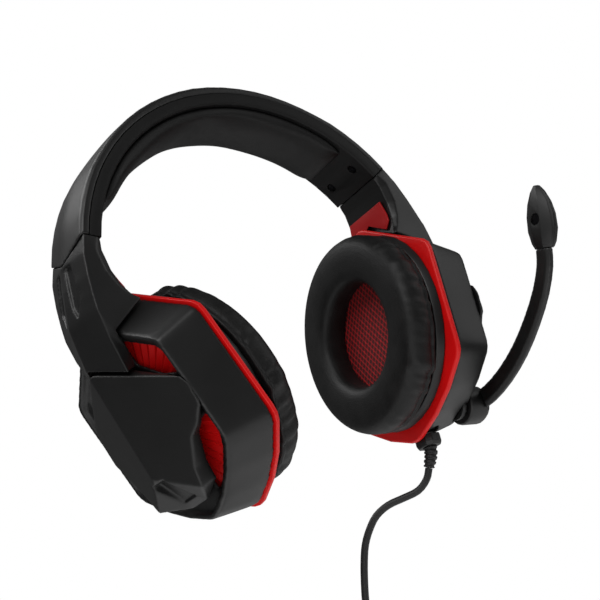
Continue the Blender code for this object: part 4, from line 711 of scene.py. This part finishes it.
def head_pad():
    """A stuffed strip under the headband, sewn along its base, fuller in the middle."""
    base = HEAD_RADIUS + PAD_THICK
    middle = Vector((0.0, 0.0, -HEAD_RADIUS))
    start = math.radians(PAD_HALF_ANGLE)
    out = Vector((math.sin(start), 0.0, math.cos(start)))
    loop = [(middle + out * (base - down) + Vector((0.0, across, 0.0))) * MM
            for across, down in pad_section()]
    bm = bmesh.new()
    bmesh.ops.spin(bm, geom=closed_loop(bm, loop), cent=middle * MM, axis=(0, 1, 0),
                   angle=-2.0 * start, steps=PAD_STEPS)
    ends = [e for e in bm.edges if e.is_boundary]
    caps = bmesh.ops.holes_fill(bm, edges=ends, sides=0)["faces"]
    bmesh.ops.inset_region(bm, faces=caps, thickness=2.0 * MM, use_even_offset=True)
    bmesh.ops.recalc_face_normals(bm, faces=bm.faces)
    for vert in bm.verts:
        arm = vert.co / MM - middle
        angle = math.degrees(math.atan2(arm.x, arm.z))
        end = max(0.0, (abs(angle) - PAD_HALF_ANGLE + PAD_END_ANGLE) / PAD_END_ANGLE)
        full = math.sqrt(max(0.0, 1.0 - PAD_END_SINK * end * end))
        full *= 1.0 - PAD_END_TAPER * (angle / PAD_HALF_ANGLE) ** 2
        radius = base - (base - math.hypot(arm.x, arm.z)) * full
        across = arm.y * (1.0 - PAD_END_NARROW * end * end) * MM
        a = math.radians(angle)
        vert.co = (middle + Vector((math.sin(a), 0.0, math.cos(a))) * radius) * MM
        vert.co += Vector((0.0, across, 0.0))
    reach = (base - PAD_SEWN) * MM
    bm = inflate("head_pad_cover", bm, lambda co: (co - middle * MM).length > reach, PAD_SWELL)
    stuffed = [v for v in bm.verts if (v.co - middle * MM).length < reach]
    for _ in range(PAD_SMOOTHING):
        bmesh.ops.smooth_vert(bm, verts=stuffed, factor=0.5,
                              use_axis_x=True, use_axis_y=True, use_axis_z=True)
    pad_object("headband_pad", bm)


NET_HALF, NET_PITCH = (27.5, 31.0), (3.0, 4.2)
NET_DEPTH, NET_DROP = -6.7, 2.4
NET_SEGMENTS, THREAD_RISE, THREAD_THINNESS = (96, 104), 0.28, 14


def speaker_net(hand, sign):
    """The net behind the ear hole: a stretched oval of diamonds, with the threads raised."""
    bm = bmesh.new()
    bmesh.ops.create_grid(bm, x_segments=NET_SEGMENTS[0], y_segments=NET_SEGMENTS[1], size=1.0)
    thread = bm.verts.layers.float.new("thread")
    for vert in bm.verts:
        x, y = vert.co.x, vert.co.y
        back = NET_HALF[0] * x * math.sqrt(1.0 - y * y / 2.0)
        up = NET_HALF[1] * y * math.sqrt(1.0 - x * x / 2.0)
        ways = (back / NET_PITCH[0] + up / NET_PITCH[1], back / NET_PITCH[0] - up / NET_PITCH[1])
        raised = max(math.cos(math.pi * way) ** THREAD_THINNESS for way in ways)
        vert[thread] = raised
        vert.co = cup_point(sign, NET_DEPTH - THREAD_RISE * raised, back, up - NET_DROP)
    bmesh.ops.recalc_face_normals(bm, faces=bm.faces)
    piece = add_object(f"{hand}_speaker_net", bm, LOOKS["net"])
    place(piece, f"{hand}_speaker_cloth")


for hand, sign in SIDES.items():
    ear_cushion(hand, sign)
    speaker_net(hand, sign)
head_pad()


# Floor and light, in metres and watts

FLOOR_RADIUS, FLOOR_GAP = 0.45, 0.03
LIGHT_AIM = Vector((0.0, 0.0, -0.09))
SOFTBOXES = {
    "key_softbox": ((-0.55, -0.75, 0.75), (0.7, 0.5), 6.0),
    "top_softbox": ((-0.35, 0.35, 0.9), (0.9, 0.6), 5.5),
    "fill_softbox": ((0.9, -0.6, 0.1), (0.6, 0.9), 1.7),
    "low_softbox": ((-0.5, -0.4, -0.28), (0.5, 0.3), 0.8),
}


def stage():
    """A plain pale floor, far enough down for the coil in every pose."""
    bm = bmesh.new()
    bmesh.ops.create_circle(bm, cap_ends=True, segments=64, radius=FLOOR_RADIUS)
    bmesh.ops.translate(bm, verts=bm.verts, vec=(0.0, 0.0, CAD_BOX[0].z - FLOOR_GAP))
    material, tree, shader, where = start_material("pale_studio_floor")
    mottle = add_node(tree, "ShaderNodeTexNoise", inputs={"Vector": where, "Scale": 3.0})
    shade = two_tone(tree, mottle.outputs["Fac"], "f4f4f4", "f8f8f8")
    tree.links.new(shade, shader.inputs["Base Color"])
    shader.inputs["Roughness"].default_value = 0.9
    shader.inputs["Emission Color"].default_value = (1.0, 1.0, 1.0, 1.0)
    shader.inputs["Emission Strength"].default_value = 0.3
    floor = add_object("floor", bm, material, smooth=False)


def studio():
    """A white room that is bright to the camera and dim to the part, and four soft lamps."""
    world = bpy.data.worlds.new("white_studio")
    world.use_nodes = True
    tree = world.node_tree
    room = tree.nodes["Background"]
    room.inputs["Color"].default_value = (1.0, 1.0, 1.0, 1.0)
    seen = add_node(tree, "ShaderNodeLightPath").outputs["Is Camera Ray"]
    strength = add_node(tree, "ShaderNodeMapRange", inputs={
        "Value": seen, "To Min": 0.14, "To Max": 1.0})
    tree.links.new(strength.outputs["Result"], room.inputs["Strength"])
    bpy.context.scene.world = world
    bpy.context.scene.view_settings.view_transform = "Standard"
    for name, (where, size, watts) in SOFTBOXES.items():
        data = bpy.data.lights.new(name, "AREA")
        data.shape = "RECTANGLE"
        data.size, data.size_y = size
        data.energy = watts
        lamp = in_scene(name, data)
        lamp.location = where
        lamp.rotation_euler = (LIGHT_AIM - Vector(where)).to_track_quat("-Z", "Y").to_euler()


stage()
studio()
